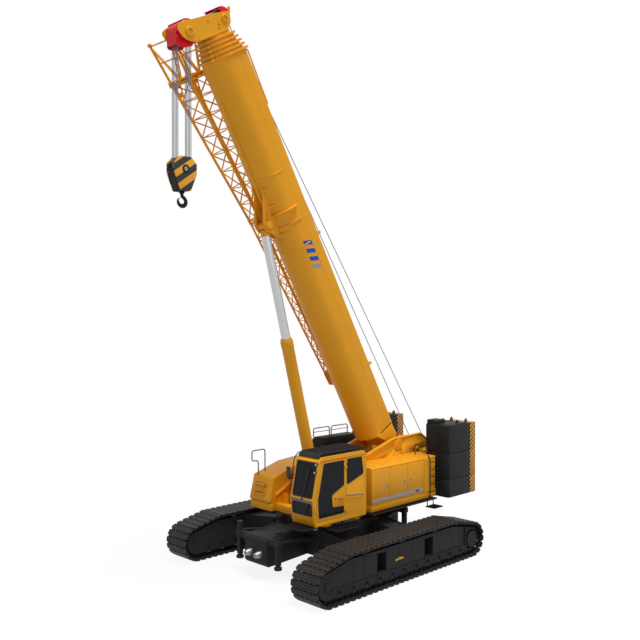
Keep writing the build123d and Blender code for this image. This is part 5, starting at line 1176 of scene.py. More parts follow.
# %% Louvres, grip slot and treads
parts = []
for x0, x1, z in ((0.62, 0.92, 2.33), (0.62, 0.92, 2.25), (0.62, 0.92, 2.02), (0.62, 0.92, 1.94)):
    parts += [plate(oblong(x0, z - 0.014, x1, z + 0.014), upright, -0.6225, -0.618, 0.001),
              plate(oblong(x0 - 0.01, z + 0.01, x1 + 0.01, z + 0.024), upright, -0.6225, -0.606, 0.002)]
parts += [block((0.55, -0.6225, 1.775), (1.05, -0.616, 1.815), 0.002, 1),
          drum(0.045, 0.0, 0.006, (0.5, -0.6225, 1.72), LEFT, steps=24, edge=0.002)]
for z in (2.15, 1.88):
    for k in range(6):
        parts.append(block((1.55, -1.26 + 0.075 * k, z + 0.022),
                           (1.64, -1.225 + 0.075 * k, z + 0.028), 0.001, 1))
dress("hood_slots", joined(parts), charcoal, UPPER)

# %% Cooling and exhaust boxes
parts = [block((-2.4, -1.46, 2.6653), (-0.84, -0.98, 3.12), 0.012),
         block((-2.37, -1.43, 3.118), (-0.87, -1.01, 3.165), 0.01)]
for k in range(18):
    x = -2.34 + 0.083 * k
    parts += [block((x, -1.466, 2.72), (x + 0.03, -1.455, 3.06), 0.002, 1),
              block((x, -0.985, 2.72), (x + 0.03, -0.974, 3.06), 0.002, 1)]
for k in range(5):
    parts.append(block((-0.848, -1.42 + 0.085 * k, 2.72), (-0.832, -1.385 + 0.085 * k, 3.06), 0.002, 1))
parts += [block((-2.96, -1.28, 2.6653), (-2.44, -0.72, 3.2), 0.014),
          drum(0.17, 3.19, 3.225, (-2.7, -1.0, 0), UP),
          turned([(0.052, 3.2), (0.066, 3.2), (0.066, 3.285), (0.056, 3.3), (0.045, 3.3), (0.045, 3.21),
                  (0.052, 3.21)], (-2.62, -0.98, 0), UP, steps=28)]
for z in (2.78, 2.98):
    parts.append(block((-2.966, -1.286, z), (-2.434, -0.714, z + 0.03), 0.004))
dress("cooling_and_exhaust_boxes", joined(parts), charcoal, UPPER, "cooling_and_exhaust")

# %% [markdown]
# Walkways are folded sheet with pressed treads, hung from the deck, and handrails are bent from 34 mm tube.

# %% Walkways and steps
def grating(low, high, gap=0.045):
    """A walkway: a folded rim with bars across it."""
    x0, y0, z0 = low
    x1, y1, z1 = high
    made = [block((x0, y0, z0), (x1, y0 + 0.012, z1), 0.002, 1),
            block((x0, y1 - 0.012, z0), (x1, y1, z1), 0.002, 1),
            block((x0, y0, z0), (x0 + 0.012, y1, z1), 0.002, 1),
            block((x1 - 0.012, y0, z0), (x1, y1, z1), 0.002, 1),
            block((x0 + 0.01, y0 + 0.01, z0 + 0.004), (x1 - 0.01, y1 - 0.01, z0 + 0.01), 0, 1)]
    count = int((x1 - x0) / gap)
    bar = block((-0.004, y0 + 0.01, z0 + 0.008), (0.004, y1 - 0.01, z1 - 0.001), 0)
    made.append(copies(bar, [Vector((x0 + (x1 - x0) * (k + 0.5) / count, 0, 0)) for k in range(count)]))
    return made


parts = grating((-3.05, 1.404, 1.4037), (-0.15, 1.644, 1.4397))
parts += grating((-3.06, 1.514, 1.202), (-2.64, 1.854, 1.228))
for x in (-2.99, -2.71):
    parts.append(plate([(1.52, 1.405), (1.55, 1.405), (1.55, 1.228), (1.84, 1.215), (1.84, 1.205),
                        (1.52, 1.205)], frontal, x - 0.006, x + 0.006, 0.002))
parts += grating((0.65, 1.404, 1.2997), (1.45, 1.864, 1.3297))
for x in (0.86, 1.24):
    parts.append(block((x - 0.008, 1.414, 1.32), (x + 0.008, 1.474, 1.4397), 0.003))
parts += grating((1.85, 0.729, 1.4097), (2.35, 1.489, 1.4397))
parts.append(block((1.2, 0.75, 1.405), (1.92, 1.4, 1.4395), 0.004))
dress("walkway_treads", joined(parts), charcoal, UPPER, "walkways")

# %% Handrails
def hood_top(x):
    """Height of the sloping nose's top."""
    return 2.36 + 0.26 * (1.47 - x) / 0.91


parts = [tube([(1.44, -1.33, hood_top(1.44)), (1.44, -1.33, 2.74), (1.68, -1.33, 2.765), (1.68, -1.33, 3.05),
               (1.19, -1.33, 3.05), (1.19, -1.33, hood_top(1.19))], 0.017, 0.08, sides=12)]
for x0, x1 in ((-0.86, -1.56), (-1.64, -2.38)):
    parts += [tube([(x0, -1.425, 3.16), (x0, -1.425, 3.42), (x1, -1.425, 3.42), (x1, -1.425, 3.16)], 0.017,
                   0.08, sides=12),
              tube([(x0, -1.425, 3.3), (x1, -1.425, 3.3)], 0.012, 0)]
for x in (1.44, 1.19):
    parts.append(drum(0.035, 0.0, 0.01, (x, -1.33, hood_top(x) - 0.004), (0.27, 0, 0.96), steps=16))
dress("tube_handrails", joined(parts), silver, UPPER, "handrails")

# %% Ladder and rails behind the left bodywork
LADDER = (-3.22, -2.86)
parts = []
for x in LADDER:
    parts.append(tube([(x, 1.52, 1.46), (x, 1.53, 2.6), (x, 1.44, 2.7)], 0.014, 0.05))
for k in range(5):
    parts.append(tube([(-3.22, 1.525, 1.62 + 0.22 * k), (-2.86, 1.525, 1.62 + 0.22 * k)], 0.012, 0))
parts += [tube([(-3.22, 1.44, 2.7), (-3.22, 1.38, 2.74), (-3.22, 0.8, 2.74)], 0.014, 0.05),
          tube([(-2.86, 1.44, 2.69), (-2.86, 1.4, 2.98), (-2.86, 0.95, 2.98),
                (-2.86, 0.95, 2.66)], 0.014, 0.06)]
for x in LADDER:
    parts += [block((x - 0.02, 1.46, 1.48), (x + 0.02, 1.53, 1.5), 0.003),
              block((x - 0.02, 1.4, 2.5), (x + 0.02, 1.53, 2.52), 0.003)]
dress("rear_ladder", joined(parts), charcoal, UPPER)

# %% [markdown]
# The counterweight is two stacks of cast slabs. Each slab is a plain heavy casting with drafted edges, and
# keys in the next by the small pads in its seams. The rear edge is painted with warning stripes.

# %% Counterweight stacks
for name, side in (("left", 1), ("right", -1)):
    parts, painted = [], []
    levels = (1.4102, 1.96, 2.74, 3.585)
    y0, y1 = side * 1.0202, side * 1.884
    for low, high in zip(levels, levels[1:]):
        parts.append(plate([(-3.302, y0), (-3.302, side * 1.8), (-3.36, y1), (-4.402, y1), (-4.402, y0)],
                           level, low + 0.006, high - 0.006, 0.016, 3))
        painted.append(plate([(-4.404, y0), (-4.404, y1), (-4.68, y1), (-4.72, side * 1.84), (-4.72, y0)],
                             level, low + 0.006, high - 0.006, 0.012, 2))
        # lifting lugs on the outer face of each slab
        for x in (-3.62, -4.18):
            parts.append(turned([(0, 0), (0.055, 0), (0.055, 0.0), (0.045, 0.01), (0.03, 0.014),
                                 (0.0, 0.014)], (x, y1 - side * 0.008, (low + high) / 2 + 0.12),
                                (0, side, 0), steps=20))
    for seam in levels[1:]:
        parts.append(block((-4.3, side * 1.05, seam - 0.01), (-3.4, side * 1.85, seam + 0.01), 0))
    # box and lugs on top
    parts.append(block((-3.75, side * 1.04, 3.58), (-3.33, side * 1.42, 3.705), 0.012))
    for x in (-3.95, -4.4):
        for y in (1.18, 1.72):
            eye = plate(rounded([(x - 0.07, 3.578), (x + 0.07, 3.578), (x + 0.055, 3.665), (x + 0.02, 3.695),
                                 (x - 0.02, 3.695), (x - 0.055, 3.665)], 0.03), upright, side * y - 0.015,
                        side * y + 0.015, 0.004)
            parts.append(cut(eye, drum(0.028, -3, 3, (x, 0, 3.645), LEFT, steps=16, edge=0)))
    # ladder on the front face
    for y in (1.5, 1.78):
        parts.append(tube([(-3.3, side * y, 1.7), (-3.25, side * y, 1.72), (-3.25, side * y, 3.52),
                           (-3.3, side * y, 3.56)], 0.012, 0.03))
    for k in range(8):
        parts.append(tube([(-3.25, side * 1.5, 1.82 + 0.23 * k),
                           (-3.25, side * 1.78, 1.82 + 0.23 * k)], 0.01, 0))
    dress(f"counterweight_slabs_{name}", joined(parts), charcoal, UPPER, f"counterweight_{name}")
    dress(f"counterweight_edges_{name}", joined(painted), rear_stripes, UPPER, slot="yellow_paint")

# %% [markdown]
# The boom is six tubes, one inside another. Each is welded from two pressed shells: a flat upper one and a
# round bellied lower one, which carries the load in bending. Every tube ends in a thick collar with the wear
# blocks of the next, so with the boom in, the collars stand close together like the ribs of a concertina.

# %% Section of the boom
def section(half, tall, facets=26):
    """Corners of the boom's section: a flat top with bent shoulders and a round belly."""
    corner = 0.06
    corners = [(half - corner, tall / 2), (-half + corner, tall / 2)]
    corners += [(-half + corner - corner * sin(t), tall / 2 - corner + corner * cos(t)) for t in (0.5, 1.0)]
    corners.append((-half, tall / 2 - corner))
    depth = half * 0.95
    for i in range(facets + 1):
        turn = pi + pi * i / facets
        corners.append((half * cos(turn), -tall / 2 + depth + depth * sin(turn)))
    corners.append((half, tall / 2 - corner))
    corners += [(half - corner + corner * sin(t), tall / 2 - corner + corner * cos(t)) for t in (1.0, 0.5)]
    return corners


def crosswise(across, above, along=0.0):
    """A place in the boom's section."""
    return boom(along, above, across)


def size(number):
    """Half width and height of a tube; number 1 is the base."""
    return 0.475 - (number - 1) * 0.03, 1.057 - (number - 1) * 0.06


BASE_END, COLLAR_PITCH = 12.2, 0.11
blocks = {}
for number in range(1, 7):
    half, tall = size(number)
    start = 0.62 if number == 1 else 0.65 + 0.2 * (number - 1)
    end = BASE_END + (number - 1) * COLLAR_PITCH if number < 6 else 12.7
    skin = plate(section(half, tall), crosswise, start, end - (0.03 if number < 6 else 0), edge=0)
    hollow = plate(section(half - 0.012, tall - 0.024), crosswise, start + (0.03 if number == 1 else -0.01),
                   end + 0.1, edge=0)
    skin = soften(cut(skin, hollow), 0, angle=30)
    parts = [skin]
    if number < 6:
        flange = plate(section(half + 0.046, tall + 0.092), crosswise, end - 0.062, end, edge=0.0)
        opening = plate(section(half - 0.0295, tall - 0.059), crosswise, end - 0.2, end + 0.2, edge=0)
        parts.append(soften(cut(flange, opening), 0.007, 2, 30))
        # wear block housings on top and under the belly, with their bolts
        for side in (-1, 1):
            y = side * (half - 0.09)
            parts.append(plate([(y - 0.065, tall / 2 + 0.04), (y + 0.065, tall / 2 + 0.04),
                                (y + 0.065, tall / 2 + 0.1), (y + 0.045, tall / 2 + 0.116),
                                (y - 0.045, tall / 2 + 0.116), (y - 0.065, tall / 2 + 0.1)], crosswise,
                               end - 0.058, end - 0.004, 0.004))
            for step in (-0.035, 0.035):
                parts.append(drum(0.011, 0, 0.014, boom(end - 0.03, tall / 2 + 0.112, y + step),
                                  ABOVE, steps=6))
            y = side * half * 0.55
            parts.append(block((-0.045, -0.03, -0.02), (0.045, 0.03, 0.045), 0.004, 1))
            parts[-1].data.transform(Matrix.Translation(boom(end - 0.033, -tall / 2 + 0.03, y)) @
                                     facing(-ABOVE))
            # side bolts
            for above in (-0.18, 0.0, 0.18):
                parts.append(drum(0.013, 0, 0.012, boom(end - 0.031, above, side * (half + 0.045)),
                                  (0, side, 0), steps=6))
    blocks[number] = parts

# %% [markdown]
# The base tube also carries the cylinder's bracket under its belly, the feet that hang on the pivot, a
# stiffening rail, and the rope guides on top.

# %% Bracket, feet and rails of the base tube
EAR_ALONG, EAR_BELOW = 7.85, -0.8
half, tall = size(1)
base = blocks[1]
for side in (-1, 1):
    ear = [(9.08, -tall / 2 + 0.06), (8.62, -0.585), (8.02, -0.905), (7.93, -0.935), (7.76, -0.93),
           (7.7, -0.885), (7.52, -0.7), (7.29, -tall / 2 + 0.06)]
    sheet = plate(ear, boom, side * 0.145, side * 0.19, 0.006, 2)
    bore = drum(0.061, -1, 1, boom(EAR_ALONG, EAR_BELOW), LEFT, steps=28, edge=0)
    base.append(cut(sheet, bore))
    ring = turned([(0.061, 0), (0.115, 0), (0.115, 0.045), (0.1, 0.065), (0.061, 0.065)],
                  boom(EAR_ALONG, EAR_BELOW, side * 0.19), (0, side, 0), steps=28)
    base.append(ring)
    # gusset from the ear to the belly
    for along in (7.45, 8.25, 8.75):
        low = -0.6 if along != 8.25 else -0.74
        base.append(plate([(side * 0.19, low), (side * 0.19, -0.4), (side * 0.4, -0.33),
                           (side * 0.4, -0.36)], crosswise, along, along + 0.018, 0.002))
# saddle rib round the belly above the bracket, and the weld where the lower shell ends
for along, grow, thick in ((7.98, 0.095, 0.045), (7.62, 0.035, 0.03), (6.9, 0.01, 0.035),
                           (8.98, 0.012, 0.05)):
    ring = plate(section(half + grow, tall + 2 * grow), crosswise, along, along + thick, edge=0)
    inner = plate(section(half - 0.004, tall - 0.008), crosswise, along - 0.1, along + 0.2, edge=0)
    ring = cut(ring, inner)
    bpy.ops.mesh.primitive_cube_add(size=1)
    top = bpy.context.object
    top.data.transform(Matrix.Translation(boom(along, 0.12 + 0.6, 0)) @ facing(ALONG) @
                       Matrix.Diagonal((3, 1.2, 1, 1)))
    ring = cut(ring, top)
    base.append(soften(ring, 0.004, 1))
base.append(plate(oblong(-0.045, -tall / 2 - 0.042, 0.045, -tall / 2 + 0.03), crosswise, 8.4, 11.15, 0.006))
for side in (-1, 1):
    foot = [(0.66, tall / 2 - 0.06), (0.25, 0.5), (0.0, CENTRE_DROP + 0.175), (-0.12, 0.4),
            (-0.172, CENTRE_DROP), (-0.13, 0.15), (-0.03, 0.095), (0.3, -0.02), (0.66, -tall / 2 + 0.26)]
    base += [plate(foot, boom, side * 0.415, side * 0.475, 0.006, 2),
             turned([(0.089, 0), (0.17, 0), (0.17, 0.06), (0.15, 0.075), (0.089, 0.075)],
                    boom(0, CENTRE_DROP, side * 0.475), (0, side, 0), steps=32)]
base += [drum(0.149, -0.5697, 0.5697, boom(0, CENTRE_DROP), LEFT, steps=36),
         drum(0.089, -0.652, 0.652, boom(0, CENTRE_DROP), LEFT, steps=32)]
# long weld beads where the two shells meet, and pads on the top
for side in (-1, 1):
    base.append(plate([(side * (half - 0.002), 0.205), (side * (half + 0.004), 0.211),
                       (side * (half + 0.004), 0.219), (side * (half - 0.002), 0.225)], crosswise,
                      0.75, 12.12, 0))
for along in (1.35, 3.4, 5.6, 9.4, 11.7):
    base.append(block((-0.05, -0.3, -0.004), (0.05, 0.3, 0.012), 0.003, 1))
    base[-1].data.transform(Matrix.Translation(boom(along, tall / 2)) @ facing(ABOVE) @
                            Matrix.Rotation(pi / 2, 4, "Z"))

# %% Rope guides on the boom
RAIL_Y = 0.39
for side in (-RAIL_Y, RAIL_Y):
    base.append(tube([boom(12.1, 0.52, side), boom(12.1, 0.62, side), boom(10.67, 0.585, side),
                      boom(10.67, 0.52, side)], 0.019, 0.05))
for along in (11.15, 11.68):
    for side in (-RAIL_Y, RAIL_Y):
        base.append(tube([boom(along, 0.52, side), boom(along, 0.6, side)], 0.014, 0))
base += [tube([boom(12.1, 0.615, -RAIL_Y), boom(12.1, 0.615, RAIL_Y)], 0.019, 0),
         tube([boom(10.67, 0.582, -RAIL_Y), boom(10.67, 0.582, RAIL_Y)], 0.019, 0)]
for along in (6.95, 2.67):
    for side in (-0.4, 0.4):
        base.append(plate([(along - 0.05, 0.52), (along + 0.05, 0.52), (along + 0.03, 0.675),
                           (along - 0.03, 0.675)], boom, side - 0.008, side + 0.008, 0.004))
    base.append(drum(0.028, -0.4, 0.4, boom(along, 0.645), LEFT, steps=16))

for number in range(1, 7):
    label = "boom_base" if number == 1 else f"boom_{number}"
    node = "boom_base_section" if number == 1 else f"boom_section_{number}"
    dress(f"boom_tube_{number}", joined(blocks[number]), yellow, label, node)

# %% Painted bars on both sides of the boom
def bars(side):
    """Four slanted bars, three of them blue and one grey, as one thin sheet of vinyl each."""
    made = []
    for k, colour in enumerate((blue, blue, blue, grey)):
        low = 7.05 - 0.24 * k
        sheet = plate([(low, -0.13), (low - 0.13, -0.13), (low - 0.25, 0.17), (low - 0.12, 0.17)], boom,
                      side * 0.4752, side * 0.4764, 0)
        sheet.data.materials.append(colour)
        made.append(sheet)
    return made


stripes = joined(bars(1) + bars(-1))
stripes.name = stripes.data.name = "boom_bars"
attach(stripes, "boom_base")

# %% [markdown]
# The boom head is two thick plates with a box between them, and two rows of sheaves. The rope comes up along
# the boom, over the upper row, across the top and over the lower row at the front, and hangs from there to
# the hook.

# %% Boom head
LOW, HIGH = (13.0, -0.87), (12.98, 0.33)
HEAD_FOOT = 12.7003
outline = rounded([(HEAD_FOOT, 0.288), (HEAD_FOOT, -0.729), (12.78, -0.94), (12.86, -1.05), (12.96, -1.125),
                   (13.15, -1.175), (13.215, -1.14), (13.245, -1.07), (13.248, -0.867), (13.185, 0.006),
                   (13.105, 0.545), (13.07, 0.572), (12.873, 0.505), (12.83, 0.48)], 0.04)
parts = []
for side in (-1, 1):
    sheet = plate(outline, boom, side * 0.3, side * 0.33, 0.005, 2)
    for hub in (LOW, HIGH):
        sheet = hole(sheet, BORE, *hub)
    sheet = hole(sheet, 0.022, 13.043, -0.216)
    for face in sheet.data.polygons:
        face.use_smooth = abs(face.normal.y) < 0.99
    parts.append(sheet)
    for hub, radius in ((LOW, 0.115), (HIGH, 0.095)):
        parts.append(turned([(BORE, 0), (radius + 0.02, 0), (radius + 0.02, 0.008), (radius, 0.01),
                             (radius, 0.035), (radius - 0.012, 0.045), (BORE, 0.045)],
                            boom(*hub, side * 0.328), (0, side, 0), steps=32))
    # curled brackets and the lifting eye on the side plate
    parts += [tube([boom(12.86, 0.02, side * 0.335), boom(12.84, 0.09, side * 0.345),
                    boom(12.9, 0.13, side * 0.345), boom(12.93, 0.08, side * 0.335)], 0.013, 0.02),
              block((-0.02, -0.03, 0), (0.02, 0.03, 0.012), 0.003, 1)]
    parts[-1].data.transform(Matrix.Translation(boom(12.99, 0.115, side * 0.33)) @ facing((0, side, 0)))
    eye = plate([(13.06, 0.52), (13.2, 0.585), (13.215, 0.625), (13.19, 0.65), (13.15, 0.645),
                 (13.02, 0.56)], boom, side * 0.315 - 0.012, side * 0.315 + 0.012, 0.004)
    parts.append(eye)
    # doubler round the plate's foot
    parts.append(plate([(12.702, 0.3), (12.702, -0.7), (12.745, -0.69), (12.745, 0.33)], boom, side * 0.33,
                       side * 0.345, 0.003))
# box between the plates: floor, front web and top bridge
parts += [plate(oblong(-0.3, -0.44, 0.3, 0.33), crosswise, HEAD_FOOT, 12.73, 0.003),
          plate([(12.73, -0.45), (13.06, -0.4), (13.06, -0.37), (12.73, -0.42)], boom, -0.3, 0.3, 0.003),
          plate([(12.73, 0.02), (13.02, -0.02), (13.02, 0.01), (12.73, 0.05)], boom, -0.3, 0.3, 0.003),
          plate([(13.03, -0.4), (13.06, -0.4), (13.04, 0.02), (13.01, 0.02)], boom, -0.3, 0.3, 0.003)]
# foot flange on the last tube
parts.append(plate(oblong(-0.33, -0.46, 0.33, 0.35), crosswise, HEAD_FOOT, 12.715, 0.002))
# ears for the lattice jib on the right side plate
for above in (-0.95, 0.3):
    parts += [plate(rounded([(12.93, above - 0.09), (13.17, above - 0.05), (13.17, above + 0.05),
                             (12.93, above + 0.09)], 0.05), boom, -0.33, -0.365, 0.004),
              drum(0.035, -0.42, -0.33, boom(13.1, above), LEFT, steps=16)]
# cap over the front edge of the lower row
cap = rounded([(13.215, -1.02), (13.262, -1.0), (13.275, -0.9), (13.262, -0.8), (13.2, -0.76),
               (13.185, -0.86)], 0.03)
parts += [plate(cap, boom, 0.2, 0.325, 0.005),
          plate(cap, boom, -0.2, -0.325, 0.005),
          drum(0.028, -0.3, 0.3, boom(13.225, -0.9), LEFT, steps=16)]
dress("head_plates", joined(parts), yellow, "boom_6", "boom_head")

# %% [markdown]
# A sheave is a cast wheel with a deep groove for one rope. Its profile is turned, and the web is cut with
# round windows. Five run side by side on each axle.

# %% Sheaves
LOWER_R, LOWER_PITCH = 0.204, 0.058
UPPER_R, UPPER_PITCH = 0.233, 0.068
GROOVE = 0.028


def sheave(radius, half):
    """One grooved wheel with holes in its web, centred on its axle."""
    rim = radius - GROOVE
    low = [(BORE, -half), (0.09, -half), (0.095, -0.01), (rim - 0.022, -0.01), (rim - 0.014, -half),
           (radius, -half), (radius, 0.006 - half), (rim + 0.002, -0.01)]
    wheel = turned(low + [(rim - 0.002, 0.0)] + both_ways(low)[len(low):], ORIGIN, LEFT, steps=40)
    ring = (0.095 + rim - 0.022) / 2
    for k in range(6):
        turn = k * pi / 3
        window = drum(ring - 0.1, -1, 1, (ring * cos(turn), 0, ring * sin(turn)), LEFT, steps=12, edge=0)
        wheel = cut(wheel, window)
    return wheel


def row(pitch, place):
    """Places of five sheaves side by side on one axle."""
    return [Matrix.Translation(place + Vector((0, pitch * (k - 2), 0))) for k in range(5)]


head_wheels = []
for hub, radius, pitch in ((LOW, LOWER_R, LOWER_PITCH), (HIGH, UPPER_R, UPPER_PITCH)):
    wheels = copies(sheave(radius, pitch / 2 - 0.006), row(pitch, boom(*hub)))
    axle = turned(both_ways([(0, -0.352), (0.05, -0.352), (0.0595, -0.342)]), boom(*hub), LEFT, steps=28)
    head_wheels.append(joined([wheels, axle]))
dress("head_sheave_rows", joined(head_wheels), bare_steel, "boom_6", "head_sheaves")

# %% Keeper plates on the axle ends
keepers = []
for along, above in (LOW, HIGH):
    for side in (-1, 1):
        keepers.append(plate(rounded(oblong(along - 0.05, above - 0.03, along + 0.05, above + 0.03), 0.01),
                             boom, side * 0.352, side * 0.36, 0.002))
        for step in (-0.032, 0.032):
            keepers.append(drum(0.009, 0, 0.009, boom(along + step, above, side * 0.36), (0, side, 0),
                                steps=6, edge=0.001))
dress("axle_keepers", joined(keepers), yellow, "boom_6")

# %% Red rope guards
def arc(centre, radius, low, high, steps=14):
    """Corners of an arc in a side view of the machine, from one angle above the horizontal to another."""
    return [(centre[0] + radius * cos(radians(low + (high - low) * k / steps)),
             centre[1] + radius * sin(radians(low + (high - low) * k / steps))) for k in range(steps + 1)]


low_hub = (boom(*LOW).x, boom(*LOW).z)
high_hub = (boom(*HIGH).x, boom(*HIGH).z)
guards = [plate(arc(low_hub, 0.313, 50, 118) + arc(low_hub, 0.301, 118, 50), upright, -0.295, 0.295, 0.002),
          plate(arc(high_hub, 0.302, 52, 128) + arc(high_hub, 0.29, 128, 52), upright, -0.295, 0.295, 0.002)]
for side in (-1, 1):
    guards += [plate(arc(low_hub, 0.313, 50, 118) + arc(low_hub, 0.2, 118, 50), upright, side * 0.285,
                     side * 0.297, 0.002),
               plate(arc(high_hub, 0.302, 62, 128) + arc(high_hub, 0.13, 128, 62), upright, side * 0.285,
                     side * 0.297, 0.002)]
dress("fixed_rope_guards", joined(guards), red, "boom_6", "sheave_guards", slot="red_paint")

# %% Swinging guard round the lower sheaves
GUARD_R, GUARD_DROP, GUARD_PLATE = 0.289, 0.388, 0.014
hood = arc((0, 0), GUARD_R, 105, 0, 16)
profile = hood + rounded([(GUARD_R, -0.1), (GUARD_R, -GUARD_DROP), (0.05, -0.372), (-0.218, -0.268),
                          (-0.16, -0.04)], 0.09, 6)
profile = [(HUB.x + a, HUB.z + b) for a, b in profile]
front = hood + [(GUARD_R, -0.335),
                (GUARD_R - GUARD_PLATE, -0.335)] + arc((0, 0), GUARD_R - GUARD_PLATE, 0, 105, 16)
front = [(HUB.x + a, HUB.z + b) for a, b in front]
parts = [plate(front, upright, -0.198, 0.198, 0.003)]
for side in (-1, 1):
    cheek = plate(profile, upright, side * 0.186, side * 0.199, 0.003)
    parts += [cut(cheek, drum(BORE, -1, 1, (HUB.x, 0, HUB.z), LEFT, steps=28, edge=0)),
              turned(oblong(BORE, 0, 0.09, 0.02), (HUB.x, side * 0.199, HUB.z), (0, side, 0), steps=24)]
dress("swinging_guard", joined(parts), red, "hoist_line", "swinging_rope_guard", slot="red_paint")

# %% [markdown]
# The lattice jib rides folded on the right side of the boom, upside down, with its root at the head. It is
# welded from four tubes with zigzag lacing, and tapers to its tip. Two heavy side plates with round holes
# join its forked root to the first bay.

# %% Chords of the jib
JIB_SIDE, JIB_TOP = -0.72, 0.13
JIB_DEPTH = 0.92                        # the jib's depth over its width
widths = ((13.05, 0.88), (11.95, 0.79), (7.85, 0.43), (2.25, 0.18))


def chord(along, out, down):
    """A chord's centre: out is 0 at the boom and 1 outside, down is 0 above and 1 below."""
    for (high, wide), (low, slim) in zip(widths, widths[1:]):
        if low <= along <= high:
            break
    share = (along - low) / (high - low)
    span = slim + (wide - slim) * share
    return boom(along, JIB_TOP - down * span * JIB_DEPTH, JIB_SIDE - out * span)


CORNERS = ((0, 0), (1, 0), (1, 1), (0, 1))


def lattice(low, high, bays, thick, thin):
    """Four chords with zigzag lacing on every face and a frame at both ends."""
    made = [tube([chord(low, *c), chord(high, *c)], thick, 0, sides=10) for c in CORNERS]
    for face in range(4):
        a, b = CORNERS[face], CORNERS[(face + 1) % 4]
        for i in range(bays):
            s0, s1 = low + (high - low) * i / bays, low + (high - low) * (i + 1) / bays
            first, second = (a, b) if i % 2 else (b, a)
            made.append(tube([chord(s0, *first), chord(s1, *second)], thin, 0, sides=8))
            if i:
                made.append(tube([chord(s0, *a), chord(s0, *b)], thin * 0.8, 0, sides=8))
        for s in (low, high):
            made.append(tube([chord(s, *a), chord(s, *b)], thin * 1.2, 0, sides=8))
    return made


# %% Root section with its fork, its joint box and its holed side plates
root = lattice(7.85, 11.95, 8, 0.036, 0.02)
for corner in CORNERS:
    root.append(tube([chord(11.95, *corner), chord(13.05, *corner)], 0.037, 0, sides=12))
for a, b in ((0, 1), (1, 2), (2, 3), (3, 0)):
    first, second = CORNERS[a], CORNERS[b]
    middle = (chord(11.97, *first) + chord(11.97, *second)) / 2
    for corner in (first, second):
        root.append(tube([middle, chord(13.0, *corner)], 0.024, 0))
    root += [tube([chord(12.55, *first), chord(12.55, *second)], 0.019, 0),
             tube([chord(13.02, *first), chord(13.02, *second)], 0.02, 0)]
for corner in CORNERS:
    centre = chord(13.05, *corner)
    knob = turned([(0, -0.058), (0.03, -0.052), (0.052, -0.03), (0.06, 0), (0.052, 0.03), (0.03, 0.052),
                   (0, 0.058)], centre, LEFT, steps=20)
    root += [knob, drum(0.026, -0.075, 0.075, centre, LEFT, steps=14)]
# joint box: a frame of plates round the chords
BOX_SPAN = 0.79
box_out, box_low = JIB_SIDE - BOX_SPAN, JIB_TOP - BOX_SPAN * JIB_DEPTH
for along in (11.9, 12.02):
    frame_plate = plate(oblong(JIB_SIDE + 0.06, JIB_TOP + 0.06, box_out - 0.06, box_low - 0.06), crosswise,
                        along - 0.012, along + 0.012, 0)
    window = plate(rounded(oblong(JIB_SIDE - 0.12, JIB_TOP - 0.11, box_out + 0.12, box_low + 0.11), 0.1),
                   crosswise, along - 0.1, along + 0.1, 0)
    root.append(soften(cut(frame_plate, window), 0.003, 1))
for out in (JIB_SIDE + 0.055, box_out - 0.055):
    sheet = plate(oblong(11.9, JIB_TOP + 0.05, 12.02, box_low - 0.05), boom, out - 0.008, out + 0.008, 0.002)
    for k in range(3):
        sheet = hole(sheet, 0.035, 11.96, JIB_TOP - BOX_SPAN * JIB_DEPTH * (0.25 + 0.25 * k))
    root.append(sheet)
# holed side plates, deep at the joint and slim below
for out in (0, 1):
    y = (chord(11.95, out, 0).y + chord(10.85, out, 0).y) / 2
    for down, toward in ((0, -1), (1, 1)):
        a0, b0 = 11.92, JIB_TOP - down * BOX_SPAN * JIB_DEPTH
        a1 = 10.75
        slim = 0.43 + (BOX_SPAN - 0.43) * (a1 - 7.85) / (11.95 - 7.85)
        b1 = JIB_TOP - down * slim * JIB_DEPTH
        sheet = plate([(a0, b0), (a1, b1), (a1, b1 + toward * 0.03), (a0 - 0.35, b0 + toward * 0.19),
                       (a0, b0 + toward * 0.24)], boom, y - 0.007, y + 0.007, 0)
        for radius, share in ((0.062, 0.14), (0.05, 0.34), (0.036, 0.54), (0.024, 0.72)):
            along = a0 + (a1 - a0) * share
            above = b0 + (b1 - b0) * share + toward * (0.12 - 0.085 * share)
            sheet = hole(sheet, radius, along, above)
        root.append(soften(sheet, 0.002, 1))
# knuckles at the foot of the root section
for corner in CORNERS:
    root.append(drum(0.045, -0.035, 0.035, chord(7.85, *corner), LEFT, steps=16))
dress("jib_root", joined(root), yellow, "boom_base", "jib_root_section")

# %% Tip section
tip = lattice(2.25, 7.76, 12, 0.029, 0.017)
for out in (0, 1):
    centre = (chord(2.25, out, 0) + chord(2.25, out, 1)) / 2
    tip.append(plate(rounded([(2.25, -0.085), (2.7, -0.12), (2.7, 0.16), (2.25, 0.15)], 0.04), boom,
                     centre.y - 0.008, centre.y + 0.008, 0.002))
tip += [drum(0.07, -0.05, 0.05, chord(2.33, 0.5, 0.5), LEFT, steps=24),
        drum(0.022, -0.11, 0.11, chord(2.33, 0.5, 0.5), LEFT, steps=12)]
for corner in CORNERS:
    tip.append(drum(0.04, -0.03, 0.03, chord(7.77, *corner), LEFT, steps=16))
dress("jib_tip", joined(tip), yellow, "boom_base", "jib_tip_section")

